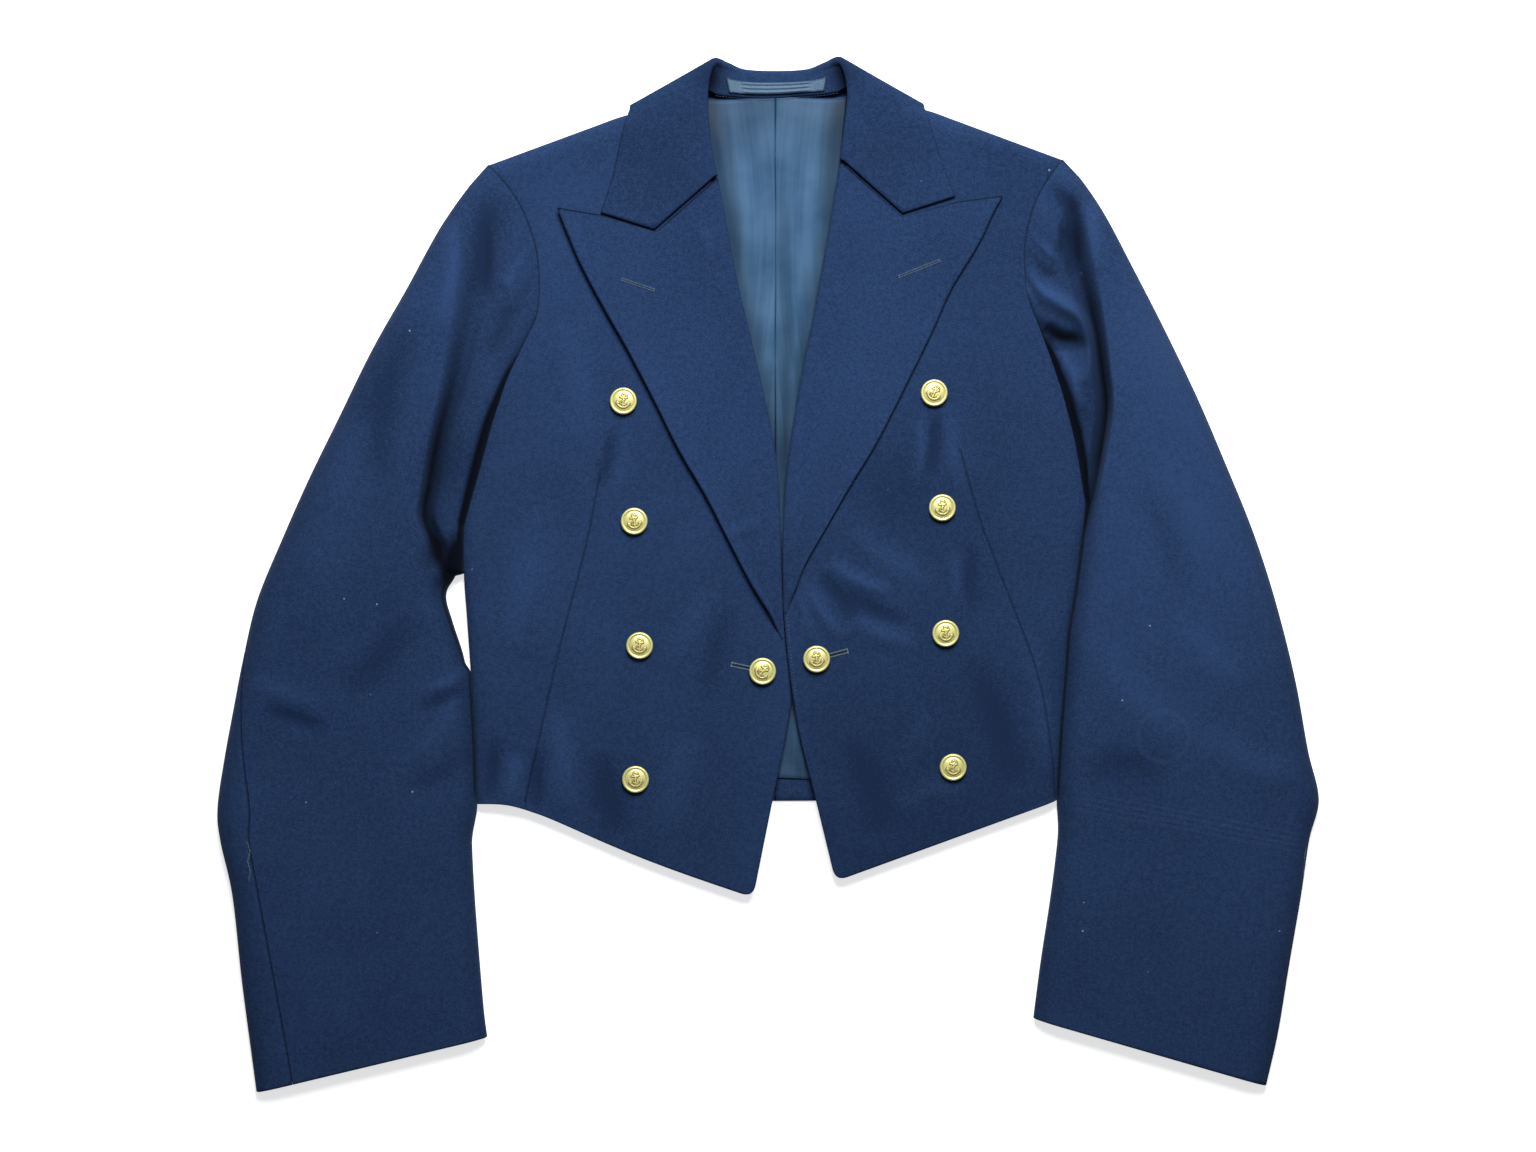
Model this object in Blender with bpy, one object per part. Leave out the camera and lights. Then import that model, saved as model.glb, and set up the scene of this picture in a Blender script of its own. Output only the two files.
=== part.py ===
"""Mess jacket laid flat with its front up: cloth panels, lapels, folded collar, sleeves, gilt buttons.

Tables and sizes are millimetres, the meshes are metres. The floor is z = 0 and the hem lies toward -Y.
Left and right are the wearer's, so the left side of the jacket lies at +X.
"""
import bpy
import numpy as np

for item in list(bpy.data.objects):
    bpy.data.objects.remove(item, do_unlink=True)

MM = 0.001
SEAM = 0.4
BODY_WALL = 1.8
LAPEL_WALL = 1.5
COLLAR_WALL = 1.6
SLEEVE_WALL = 1.6
LINING_WALL = 1.0
LOOP_WALL = 1.0

NAVY = (0.022, 0.043, 0.105, 1.0)
SATIN = (0.075, 0.145, 0.255, 1.0)
RIBBON = (0.150, 0.230, 0.340, 1.0)
GILT = (0.780, 0.600, 0.220, 1.0)

SIGN = {"left": 1.0, "right": -1.0}
CENTRE_X = 5.5
FRAME_Y = -0.497

# Front edge: (y, x) of the fold of collar and lapel from the neck to the break, then of the cut edge.
FRONT_EDGE = {
    "left": [(-227, 50), (-165, 35), (-113, 22.5), (-88, 19), (-55, 14), (-22, 12.3), (32, 11.2),
             (86, 15), (126, 21), (216, 38), (307, 53), (336, 56.5), (366, 59.5)],
    "right": [(-239, -11), (-169, 3), (-117, 14), (-93, 16.5), (-78, 15), (-41, 9.5), (36, 9),
              (88, 6), (135, -3), (216, -22), (295, -37), (320, -42), (363, -45)],
}
# Front rows from shoulder to hem: y at the front edge, x and y at the armhole and side, and how far
# the side turns down to the seam with the back (0 none, 1 all the way).
FRONT_ROWS = {
    "left": [(366, 219, 309, 0.2), (348, 205, 289, 0.2), (324, 196, 270, 0.2), (307, 191, 246, 0.2),
             (272, 191, 224, 0.2), (234, 194, 204, 0.3), (187, 204, 178, 0.45), (135, 218, 138, 0.6),
             (92, 228, 101, 0.8), (53, 236, 53, 1), (23, 232, 20, 1), (-7, 228, -12, 1),
             (-37, 223, -42, 1), (-69, 221, -69, 1), (-97, 219, -93, 1), (-129, 217, -119, 1),
             (-164, 216, -137, 1), (-197, 215, -154, 1), (-227, 215, -167, 1)],
    "right": [(363, -208, 305, 0.2), (345, -191, 285, 0.2), (320, -179, 263, 0.2), (295, -171, 234, 0.2),
              (254, -171, 197, 0.2), (213, -180, 175, 0.3), (173, -194, 146, 0.45), (134, -205, 113, 0.6),
              (100, -215, 76, 0.8), (64, -226, 36, 1), (23, -226, 0, 1), (-9, -224, -29, 1),
              (-41, -222, -57, 1), (-75, -220, -86, 1), (-105, -218.5, -112, 1), (-130, -217.5, -131, 1),
              (-165, -217, -149, 1), (-205, -216.7, -161, 1), (-239, -216.5, -170, 1)],
}
ARMHOLE_ROWS = {"left": 5.0, "right": 4.2}
# Row numbers at which a front is cut into sections: close where the shoulder turns and round the armhole.
FRONT_STEPS = np.array([0, 0.04, 0.15, 0.33, 0.6, 1, 1.5, 2, 2.5, 3, 3.5, 4, 4.5, 5, 5.5, 6, 7, 8, 9, 10,
                        11, 11.5, 12, 13, 14, 15, 16, 17, 18])
BREAK_Y = {"left": -22.0, "right": -41.0}
FRONT_CROWN = 10.0
NECK_CROWN = 2.5
SHOULDER_TURN = 14.0
SHOULDER_DIP = 6.0
SIDE_TURN = 12.0
FRONT_SEAM_Z = 4.6
BACK_SEAM_Z = 4.2
BACK_TURN = 6.0
ROLL_INSET = 5.2
HEM_LIFT = {"left": 0.0, "right": 8.5}

# Lapel rows from the gorge to the break: y on the roll, x and y of the outer edge.
LAPEL_ROWS = {
    "left": [(307, 174, 281), (287, 166, 266), (268, 156, 245), (231, 136, 212), (196, 122, 181),
             (159, 102, 140), (123, 81, 99), (89, 61, 66), (56, 43, 35), (26, 28, 9), (0, 20.5, -9),
             (-16, 18.5, -17)],
    "right": [(295, -156, 272), (269, -148, 252), (243, -138, 229), (205, -121, 197), (175, -105, 169),
              (135, -85, 131), (105, -66, 93), (71, -46, 59), (36, -28, 24), (4, -12, -6), (-22, 0, -26),
              (-35, 3, -36)],
}
# Bend of a lapel's top edge off its chord: share of the width, x toward the roll, y.
LAPEL_BEND = [(0.0, 0.0, 0.0), (0.435, 6.2, -30.5), (0.74, 2.0, -11.0), (1.0, 0.0, 0.0)]
LAPEL_BEND_ROWS = 3.5
LAPEL_RISE = 1.4
ROLL_RADIUS = 2.6
ROLL_RETURN = 2.0

# Collar sections from the right gorge round the neck to the left gorge: centre of the fold x, y, z,
# its radius, its turn in degrees, the neck edge x, y, z, the outer edge x, y, z, and how fast it falls.
COLLAR_ROWS = [
    (-39.6, 295, 10.8, 2.6, 0, -42.0, 295, 8.2, -124, 268.4, 12.2, 1),
    (-45.2, 325, 12.0, 2.6, 0, -47.4, 325, 9.4, -115, 296, 12.3, 1),
    (-47.0, 352, 14.0, 2.7, 8, -48.0, 350, 10.8, -107, 332, 13.0, 1),
    (-45.5, 369, 16.0, 3.0, 45, -46.0, 362, 10.2, -103.5, 344, 9.5, 1),
    (-40.0, 379, 15.0, 3.2, 90, -38.0, 360, 9.0, -101.5, 349, 5.0, 1),
    (-31.0, 377, 9.5, 3.4, 140, -27.0, 355, 7.8, -90, 337, 0.6, 3),
    (-18.0, 372.5, 4.6, 3.6, 170, -12.0, 354, 7.4, -55, 331, 0, 3),
    (5.5, 371.4, 3.6, 3.6, 180, 5.5, 354, 7.3, 5.5, 328, 0, 3),
    (29.0, 372.5, 4.6, 3.6, 170, 24.0, 355.5, 7.4, 66, 331, 0, 3),
    (43.0, 377, 9.5, 3.4, 140, 40.0, 356.5, 7.8, 101, 338, 0.6, 3),
    (53.0, 380, 15.0, 3.2, 90, 51.0, 362, 9.0, 114, 350, 5.0, 1),
    (59.0, 371, 16.0, 3.0, 45, 60.0, 364, 10.2, 117, 345, 9.5, 1),
    (61.2, 354, 14.0, 2.7, 8, 62.2, 352, 10.8, 121, 331, 13.0, 1),
    (59.1, 335, 12.0, 2.6, 0, 61.3, 335, 9.4, 130, 303, 12.3, 1),
    (55.6, 307, 10.8, 2.6, 0, 58.0, 307, 8.2, 139, 280.4, 12.2, 1),
]
COLLAR_BEND = [(0.0, 0.0, 0.0), (0.62, 7.6, -22.6), (1.0, 0.0, 0.0)]
COLLAR_BEND_ROWS = 1.3
LOOP_ROWS = (4.9, 9.1)
LOOP_BAND = (0.2, 0.86)

# Lift of the back over the fall of the collar that lies beneath it.
LIFT_MIDDLE = 3.3
LIFT_SHOULDER = 1.7
LIFT_CLEARANCE = 1.4
BACK_HEM_Y = -168.0
BACK_NECK_Y = 357.0
# Bend of the back's top edge off its chord: share of the width, y.
BACK_BEND = [(0.0, 0.0), (0.15, 5.0), (0.2, 7.5), (0.25, 11.0), (0.4, 8.5), (0.55, 11.0), (1.0, 0.0)]
BACK_BEND_ROWS = 3.0

BACK_ROWS = np.array([0, 0.35, 0.7, 1.05, 1.4, 1.75, 2.1, 2.5, 3, 3.5, 4, 4.5, 5, *range(6, 19)])
BACK_SIDE_SHARES = np.array([0.85, 0.7, 0.6, 0.5, 0.4])
BACK_SHARES = np.array([0.25, 0.2, 0.15, 0.07, 0.0])

LINING_TOP_ROW = 0.15
LINING_LAST_ROW = 17.4
LINING_RIPPLE = 0.6

# Sleeve rows from the armhole to the cuff: x, y of the outer edge, x, y of the inner edge, crown,
# and the hind seam's distance from the outer edge.
SLEEVE_ROWS = {
    "left": [(219, 309, 194, 204, 11, 1), (232, 295, 203, 185, 17, 1), (250, 268, 215, 156, 22, 1),
             (271, 228, 224, 125, 25, 1), (294, 183, 232, 93, 26, 1), (319, 131, 238, 64, 26, 1),
             (340, 82, 239, 47, 25, 1), (358, 38, 235, 23, 24, 1), (372, -3, 230, -9, 23, 1),
             (384, -46, 225, -45, 22, 1), (393, -85, 221, -87, 21, 1), (401, -130, 219, -129, 20, 1),
             (409, -166, 217, -165, 19, 1), (402, -196, 215, -196, 18, 1), (396, -237, 210, -237, 17, 1),
             (387, -290, 203, -283, 15, 1), (379, -339, 199, -313, 13, 1), (370, -379, 197, -329, 12, 1)],
    "right": [(-208, 305, -172.3, 193, 11, 1), (-222, 289, -186, 162, 17, 1), (-244, 257, -201, 129, 22, 1),
              (-268, 213, -212, 95, 25, 1), (-294, 167, -222, 62, 26, 1), (-319, 116, -228, 33, 26, 1),
              (-341, 71, -231, 3, 25, 1), (-361, 26, -239, -14, 24, 1), (-379, -18, -234, -35, 23, 1),
              (-389, -59, -226, -60, 22, 2), (-397, -100, -222, -85, 21, 8), (-404, -137, -221, -119, 20, 17),
              (-409, -173, -220, -160, 19, 26), (-407, -197, -220, -193, 18, 24),
              (-398, -238, -218, -235, 17, 22), (-391, -301, -214, -288, 15, 26),
              (-384, -354, -211, -323, 13, 28), (-380, -384, -208.5, -343, 12, 29)],
}
SLEEVE_EDGE_Z = 4.8
SLEEVE_LEAST_CROWN = 10.5
SLEEVE_TURN = 20.0
SLEEVE_FLOOR_TURN = 6.0
FORE_SEAM = 25.0
ARMHOLE_BLEND_ROWS = 4.0
# Ridge of the fold inside each upper sleeve: (y, x); the cloth drops beside it toward the body.
SLEEVE_RIDGE = {
    "left": [(49, 239), (99, 250), (129, 252), (187, 241), (245, 221), (274, 216)],
    "right": [(-15, -240), (17, -249), (40, -257), (96, -252), (131, -240), (187, -231), (234, -227)],
}
RIDGE_DROP = 11.0
RIDGE_WIDTH = 9.0

# Button centres (x, y) down each front; the last is the link button at the front edge.
BUTTONS = {
    "left": [(123, 135), (129, 50), (131.5, -43), (137, -142), (36, -62)],
    "right": [(-107, 129), (-99, 40), (-95, -52), (-98, -151), (-4, -71)],
}
BUTTON_SIDES = 14
# Turned profile of a button from its shank up to the crown of the dome: radius, height.
BUTTON_PROFILE = [(3.0, 0.0), (3.0, 1.3), (9.6, 1.6), (10.0, 2.3), (8.8, 3.0), (5.0, 4.6)]
BUTTON_CROWN = 5.2


def spline(table, at):
    """Smooth curve through a table whose first column rises; returns the other columns."""
    table = np.asarray(table, dtype=float)
    keys = table[:, 0]
    values = table[:, 1:]
    at = np.asarray(at, dtype=float)
    slopes = np.gradient(values, keys, axis=0)
    low = np.clip(np.searchsorted(keys, at, side="right") - 1, 0, len(keys) - 2)
    step = (keys[low + 1] - keys[low])[..., None]
    t = (at[..., None] - keys[low][..., None]) / step
    start = values[low] * (1 + 2 * t) * (1 - t) ** 2 + slopes[low] * step * t * (1 - t) ** 2
    end = values[low + 1] * t * t * (3 - 2 * t) - slopes[low + 1] * step * t * t * (1 - t)
    return start + end


def numbered(rows):
    """Table with its row number put in front as the key."""
    rows = np.asarray(rows, dtype=float)
    return np.column_stack([np.arange(len(rows)), rows])


def straight(table, at):
    """Straight lines through a table whose first column rises; returns the other columns."""
    table = np.asarray(table, dtype=float)
    return np.stack([np.interp(at, table[:, 0], column) for column in table[:, 1:].T], axis=-1)


def ease(t):
    """Smooth step from 0 to 1."""
    t = np.clip(t, 0.0, 1.0)
    return t * t * (3.0 - 2.0 * t)


def rounded(distance, reach):
    """Quarter-ellipse rise from 0 at an edge to 1 at the reach."""
    t = np.clip(distance / reach, 0.0, 1.0)
    return np.sqrt(1.0 - (1.0 - t) ** 2)


def turn_steps(reach, count, turn=1.0):
    """Distances from an edge that follow its quarter-ellipse evenly, or even steps where it turns less."""
    even = np.linspace(0.0, 1.0, count)
    return reach * (turn * (1.0 - np.cos(even * np.pi / 2)) + (1.0 - turn) * even)


def turned(distance, reach, turn):
    """Share of the fall at a turned edge: a quarter-ellipse at a full turn, gentler at a part turn."""
    t = np.clip(distance / reach, 0.0, 1.0)
    return turn * (turn * (1.0 - rounded(distance, reach)) + (1.0 - turn) * (1.0 - t) ** 2)


def edge_x(side, y):
    """X of the front edge or roll at a height down the front."""
    return spline(FRONT_EDGE[side], y)[..., 0]


def side_row(side, row):
    """Front row at a row number: y at the edge, x, y at the side, turn of the side."""
    return spline(numbered(FRONT_ROWS[side]), row)


def roll_inset(side, y):
    """How far the front's cut edge lies inside the roll; none below the break."""
    return ROLL_INSET * ease((y - BREAK_Y[side] + 14.0) / 14.0)


def collar_dip(x):
    """How far the shoulder edge stands back where the collar turns over it."""
    return SHOULDER_DIP * (1.0 - ease((np.abs(x - CENTRE_X) - 75.0) / 50.0))


def shoulder_distance(side, x, y):
    """Distance in from the shoulder seam."""
    neck_y, end_x, end_y, _turn = FRONT_ROWS[side][0]
    neck_x = FRONT_EDGE[side][-1][1] + SIGN[side] * ROLL_INSET
    slope = (end_y - neck_y) / (end_x - neck_x)
    return (neck_y + slope * (x - neck_x) - collar_dip(x) - y) / np.hypot(1.0, slope)


def back_lift(x, y):
    """Height of the back's underside over the floor."""
    away = np.abs(x - CENTRE_X)
    lift = LIFT_MIDDLE + LIFT_SHOULDER * ease((away - 40.0) / 40.0)
    return lift * (1.0 - ease((away - 95.0) / 35.0)) * ease((y - 300.0) / 28.0)


def front_height(side, x, y):
    """Height of a front's outer face, falling to the back along the shoulder seam."""
    crown = FRONT_CROWN + NECK_CROWN * ease((y - 290.0) / 50.0)
    seam = LIFT_CLEARANCE * back_lift(x, y) + BODY_WALL + SEAM
    return seam + (crown - seam) * rounded(shoulder_distance(side, x, y), SHOULDER_TURN)


def face_normals(grid, upward_at):
    """Unit normals of a grid of points, signed so that the normal at one grid place points up."""
    across = np.gradient(grid, axis=1, edge_order=2)
    down = np.gradient(grid, axis=0, edge_order=2)
    normal = np.cross(across, down)
    normal = normal / np.linalg.norm(normal, axis=2, keepdims=True)
    return normal if normal[upward_at][2] > 0 else -normal


def principled(name, colour, roughness, metallic):
    material = bpy.data.materials.new(name)
    material.use_nodes = True
    shader = material.node_tree.nodes["Principled BSDF"]
    shader.inputs["Base Color"].default_value = colour
    shader.inputs["Roughness"].default_value = roughness
    shader.inputs["Metallic"].default_value = metallic
    material.diffuse_color = colour
    return material


def add_object(name, points, faces, colour, roughness, metallic=0.0):
    """One named object, metres, faces turned outward."""
    points = (np.asarray(points) - np.array([0.0, FRAME_Y, 0.0])) * MM
    faces = np.asarray(faces)
    corners = points[faces]
    volume = np.einsum("ij,ij->", corners[:, 0], np.cross(corners[:, 1], corners[:, 2]))
    faces = faces if volume > 0 else faces[:, ::-1]
    mesh = bpy.data.meshes.new(name)
    mesh.from_pydata(points.tolist(), [], faces.tolist())
    mesh.update()
    mesh.materials.append(principled(name, colour, roughness, metallic))
    bpy.context.scene.collection.objects.link(bpy.data.objects.new(name, mesh))


def add_wall(name, outer, inner, colour, roughness=0.9):
    """Closed wall of cloth between two grids of points."""
    rows, columns = outer.shape[:2]
    index = np.arange(rows * columns).reshape(rows, columns)
    far = index + rows * columns
    faces = []

    def quad(a, b, c, d):
        faces.extend([(a, b, c), (a, c, d)])

    for i in range(rows - 1):
        for j in range(columns - 1):
            quad(index[i, j], index[i, j + 1], index[i + 1, j + 1], index[i + 1, j])
            quad(far[i, j], far[i + 1, j], far[i + 1, j + 1], far[i, j + 1])
    rim = [index[0, :], index[:, -1], index[-1, ::-1], index[::-1, 0]]
    for line in rim:
        for a, b in zip(line[:-1], line[1:]):
            quad(b, a, a + rows * columns, b + rows * columns)
    points = np.concatenate([outer.reshape(-1, 3), inner.reshape(-1, 3)])
    add_object(name, points, faces, colour, roughness)


def front(side):
    sign = SIGN[side]
    last = len(FRONT_ROWS[side]) - 1
    rows = FRONT_STEPS
    edge_y, side_x, side_y, turn = side_row(side, rows).T
    start = np.stack([edge_x(side, edge_y) + sign * roll_inset(side, edge_y), edge_y], axis=1)
    end = np.stack([side_x, side_y], axis=1)
    width = np.linalg.norm(start - end, axis=1)
    spread = np.linspace(0.0, 1.0, 10)[1:]
    distance = []
    for reach, part in zip(width, turn):
        flat_part = SIDE_TURN + (reach - SIDE_TURN) * spread
        distance.append(np.concatenate([turn_steps(SIDE_TURN, 5, part), flat_part]))
    distance = np.array(distance)
    share = (distance / width[:, None])[..., None]
    plan = end[:, None] + (start - end)[:, None] * share
    plan[..., 1] -= collar_dip(plan[..., 0]) * np.clip(1.0 - rows / 2.0, 0.0, 1.0)[:, None] ** 2
    lift = HEM_LIFT[side] * ease((rows - 12.0) / (last - 12.0))
    plan[..., 1] += lift[:, None] * np.sin(np.pi * np.clip(1.0 - share[..., 0], 0.0, 1.0) ** 3.1)
    height = front_height(side, plan[..., 0], plan[..., 1])
    drop = np.maximum(height - FRONT_SEAM_Z, 0.0) * turned(distance, SIDE_TURN, turn[:, None])
    outer = np.concatenate([plan, (height - drop)[..., None]], axis=2)
    inner = outer - BODY_WALL * face_normals(outer, (10, 8))
    add_wall("front_" + side, outer, inner, NAVY)


def back_grid(side, rows, steps, shares):
    """Underside of a back half; columns are a count of steps round the side, then shares from the centre."""
    last = len(FRONT_ROWS[side]) - 1
    _edge_y, side_x, side_y, turn = side_row(side, rows).T
    middle_y = BACK_NECK_Y + (BACK_HEM_Y - BACK_NECK_Y) * rows / last
    start = np.stack([np.full_like(rows, CENTRE_X + SIGN[side] * SEAM / 2), middle_y], axis=1)
    end = np.stack([side_x, side_y], axis=1)
    width = np.linalg.norm(start - end, axis=1)
    distance = []
    for reach, part in zip(width, turn):
        distance.append(np.concatenate([turn_steps(BACK_TURN, steps, part), reach * (1.0 - shares)]))
    distance = np.array(distance)
    share = 1.0 - distance / width[:, None]
    plan = start[:, None] + (end - start)[:, None] * share[..., None]
    fade = np.clip(1.0 - rows / BACK_BEND_ROWS, 0.0, 1.0) ** 2
    plan[..., 1] += straight(BACK_BEND, share)[..., 0] * fade[:, None]
    rise = BACK_SEAM_Z * turned(distance, BACK_TURN, ease((turn - 0.2) / 0.8)[:, None])
    height = back_lift(plan[..., 0], plan[..., 1]) + rise
    return np.concatenate([plan, height[..., None]], axis=2)


def back(side):
    outer = back_grid(side, BACK_ROWS, 4, np.concatenate([BACK_SIDE_SHARES, BACK_SHARES]))
    inner = outer + BODY_WALL * face_normals(outer, (10, 8))
    add_wall("back_" + side, outer, inner, NAVY)


def lining(side):
    rows = np.concatenate([[LINING_TOP_ROW], BACK_ROWS[1:-1], [LINING_LAST_ROW]])
    panel = back_grid(side, rows, 0, BACK_SHARES)
    normal = face_normals(panel, (10, 3))
    ripple = LINING_RIPPLE * np.array([0.0, 1.0, 0.2, 1.0, 0.0])[::-1, None]
    inner = panel + normal * (BODY_WALL + SEAM + ripple)
    add_wall("lining_" + side, inner + normal * LINING_WALL, inner, SATIN, 0.45)


def lapel(side):
    sign = SIGN[side]
    table = numbered(LAPEL_ROWS[side])
    rows = np.linspace(0.0, len(table) - 1.0, 15)
    roll_y, outer_x, outer_y = spline(table, rows).T
    roll = np.stack([edge_x(side, roll_y), roll_y], axis=1)
    edge = np.stack([outer_x, outer_y], axis=1)
    width = np.linalg.norm(edge - roll, axis=1)
    along = (edge - roll) / width[:, None]
    shares = np.array([0.0, 0.1, 0.22, 0.33, 0.435, 0.54, 0.64, 0.74, 0.87, 1.0])
    fade = np.clip(1.0 - rows / LAPEL_BEND_ROWS, 0.0, 1.0) ** 2
    grid = []
    for i, reach in enumerate(width):
        share = shares * (1.0 - ROLL_RADIUS / reach) + ROLL_RADIUS / reach
        bend = straight(LAPEL_BEND, share) * fade[i] * np.array([-sign, 1.0])
        plan = roll[i] + along[i] * (share * reach)[:, None] + bend
        rise = LAPEL_RISE * np.exp(-((share * reach - ROLL_RADIUS) / 18.0) ** 2)
        height = front_height(side, plan[:, 0], plan[:, 1]) + SEAM + LAPEL_WALL + rise
        top = np.column_stack([plan, height])
        centre = top[0] - np.array([0.0, 0.0, ROLL_RADIUS])
        out = np.array([-along[i][0], -along[i][1], 0.0]) * ROLL_RADIUS
        up = np.array([0.0, 0.0, ROLL_RADIUS])
        turn = np.linspace(-np.pi / 2, np.pi / 2, 6)[:-1, None]
        curl = centre + out * np.cos(turn) + up * np.sin(turn)
        tail = curl[0] - out * ROLL_RETURN / ROLL_RADIUS
        grid.append(np.vstack([tail, curl, top]))
    outer = np.array(grid)
    inner = outer - LAPEL_WALL * face_normals(outer, (7, -2))
    add_wall("lapel_" + side, outer, inner, NAVY)


def collar_grid():
    """Outer face of the collar: neck edge, stand, round fold, fall to the outer edge."""
    table = numbered(COLLAR_ROWS)
    last = len(table) - 1.0
    rows = np.linspace(0.0, last, 29)
    grid = []
    for row in rows:
        cx, cy, cz, radius, turn, nx, ny, nz, ex, ey, ez, falls = spline(table, row)
        ahead = spline(table, min(row + 0.05, last))[:2] - spline(table, max(row - 0.05, 0.0))[:2]
        ahead = ahead / np.hypot(*ahead)
        right = np.array([ahead[1], -ahead[0], 0.0])
        up = np.array([0.0, 0.0, 1.0])
        angle = np.radians(turn)
        tip = np.cos(angle) * right + np.sin(angle) * up
        base = np.sin(angle) * right - np.cos(angle) * up
        centre = np.array([cx, cy, cz])
        sweep = np.linspace(0.0, np.pi, 6)[:, None]
        arc = centre + radius * (base * np.cos(sweep) + tip * np.sin(sweep))
        neck = np.array([nx, ny, nz])
        stand = neck + (arc[0] - neck) * np.linspace(0.0, 1.0, 3)[:-1, None]
        share = np.array([0.15, 0.3, 0.46, 0.62, 0.8, 1.0])[:, None]
        fall = arc[-1] + (np.array([ex, ey, ez]) - arc[-1]) * share
        fall[:, 2] = ez + (arc[-1][2] - ez) * (1.0 - share[:, 0]) ** falls
        side = "left" if cx > CENTRE_X else "right"
        near_end = np.clip(1.0 - min(row, last - row) / COLLAR_BEND_ROWS, 0.0, 1.0) ** 2
        fall[:, :2] += straight(COLLAR_BEND, share[:, 0]) * near_end * np.array([-SIGN[side], 1.0])
        if falls < 1.5:
            inside = shoulder_distance(side, fall[:, 0], fall[:, 1]) > 0.0
            clear = front_height(side, fall[:, 0], fall[:, 1]) + 2 * SEAM + COLLAR_WALL
            fall[:, 2] = np.where(inside, np.maximum(fall[:, 2], clear), fall[:, 2])
        section = np.vstack([stand, arc, fall])
        section[:, 2] = np.maximum(section[:, 2], 0.0)
        grid.append(section)
    return np.array(grid)


def collar():
    outer = collar_grid()
    inner = outer - COLLAR_WALL * face_normals(outer, (1, -2))
    add_wall("collar", outer, inner, NAVY)


def sleeve_ring(side, row, place):
    """Outer face of a sleeve: place 0 to 1 crosses the top from the outer edge, 1 to 2 the underside."""
    table = numbered(SLEEVE_ROWS[side])
    ox, oy, ix, iy, crown, _seam = spline(table, row)
    start = np.array([ox, oy])
    end = np.array([ix, iy])
    place = np.mod(np.asarray(place, dtype=float), 2.0)
    top = place <= 1.0
    share = np.where(top, place, 2.0 - place)
    width = np.linalg.norm(end - start)
    plan = start + (end - start) * share[:, None]
    first = table[0, 1:]
    armhole = side_row(side, share * ARMHOLE_ROWS[side])[:, 1:3]
    off = np.gradient(side_row(side, np.linspace(0, ARMHOLE_ROWS[side], 21))[:, 1:3], axis=0)
    off = straight(np.column_stack([np.linspace(0, 1, 21), off]), share)
    off = np.column_stack([-off[:, 1], off[:, 0]]) * SIGN[side]
    gap = SEAM + 0.4 + 0.8 * ease(1.0 - share / 0.15)
    armhole = armhole + off / np.linalg.norm(off, axis=1, keepdims=True) * gap[:, None]
    chord = first[:2] + (first[2:4] - first[:2]) * share[:, None]
    plan = plan + (armhole - chord) * np.clip(1.0 - row / ARMHOLE_BLEND_ROWS, 0.0, 1.0) ** 2
    from_outer = share * width
    from_inner = (1.0 - share) * width
    ridge = np.asarray(SLEEVE_RIDGE[side], dtype=float)
    beside = SIGN[side] * (spline(ridge, np.clip(plan[:, 1], ridge[0, 0], ridge[-1, 0]))[:, 0] - plan[:, 0])
    reach = ease((plan[:, 1] - ridge[0, 0]) / 40.0) * ease((ridge[-1, 0] - plan[:, 1]) / 60.0)
    drop = RIDGE_DROP * ease(beside / RIDGE_WIDTH) * reach
    bend = min(SLEEVE_TURN, (crown - SLEEVE_EDGE_Z) ** 2 / 2.6)
    dome = rounded(from_outer, bend) * rounded(from_inner, bend)
    crown = np.maximum(crown - drop, SLEEVE_LEAST_CROWN)
    floor = rounded(from_outer, SLEEVE_FLOOR_TURN) * rounded(from_inner, SLEEVE_FLOOR_TURN)
    height = np.where(top, SLEEVE_EDGE_Z + (crown - SLEEVE_EDGE_Z) * dome, SLEEVE_EDGE_Z * (1.0 - floor))
    return np.column_stack([plan, height])


def sleeve_places(side, row, piece):
    """Places round the ring that one sleeve piece takes, from seam to seam, close where it turns."""
    table = numbered(SLEEVE_ROWS[side])
    ox, oy, ix, iy, _crown, seam = spline(table, row)
    width = np.hypot(ix - ox, iy - oy)
    gap = 1.5 * SEAM / width
    hind = max(seam, 1.0) / width
    fore = FORE_SEAM / width
    half = np.linspace(0.0, 1.0, 8)
    if piece == "topsleeve":
        rising = hind + gap / 2 + (0.5 - hind - gap / 2) * (1.0 - np.cos(half * np.pi / 2))
        falling = 0.5 + 0.5 * np.sin(half[1:] * np.pi / 2)
        under = 1.0 + (fore - gap / 2) * np.array([0.12, 0.4, 1.0])
        return np.concatenate([rising, falling, under])
    turn = SLEEVE_FLOOR_TURN / width
    floor = np.linspace(1.0 + fore + gap / 2, 2.0 - turn, 5)
    edge = 2.0 - turn_steps(turn, 5)[3::-1]
    over = 2.0 + (hind - gap / 2) * np.array([0.12, 0.45, 1.0])
    return np.concatenate([floor, edge, over])


def sleeve(side, piece):
    rows = np.concatenate([[0.0], np.arange(1.0, 4.0, 0.5), np.arange(4.0, 17.5, 1.0)])
    outer = np.array([sleeve_ring(side, row, sleeve_places(side, row, piece)) for row in rows])
    normal = face_normals(outer, (8, 8))
    normal[0] = normal[1]
    normal[-1] = normal[-2]
    if piece == "undersleeve":
        normal = -normal
    add_wall(piece + "_" + side, outer, outer - SLEEVE_WALL * normal, NAVY)


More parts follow.
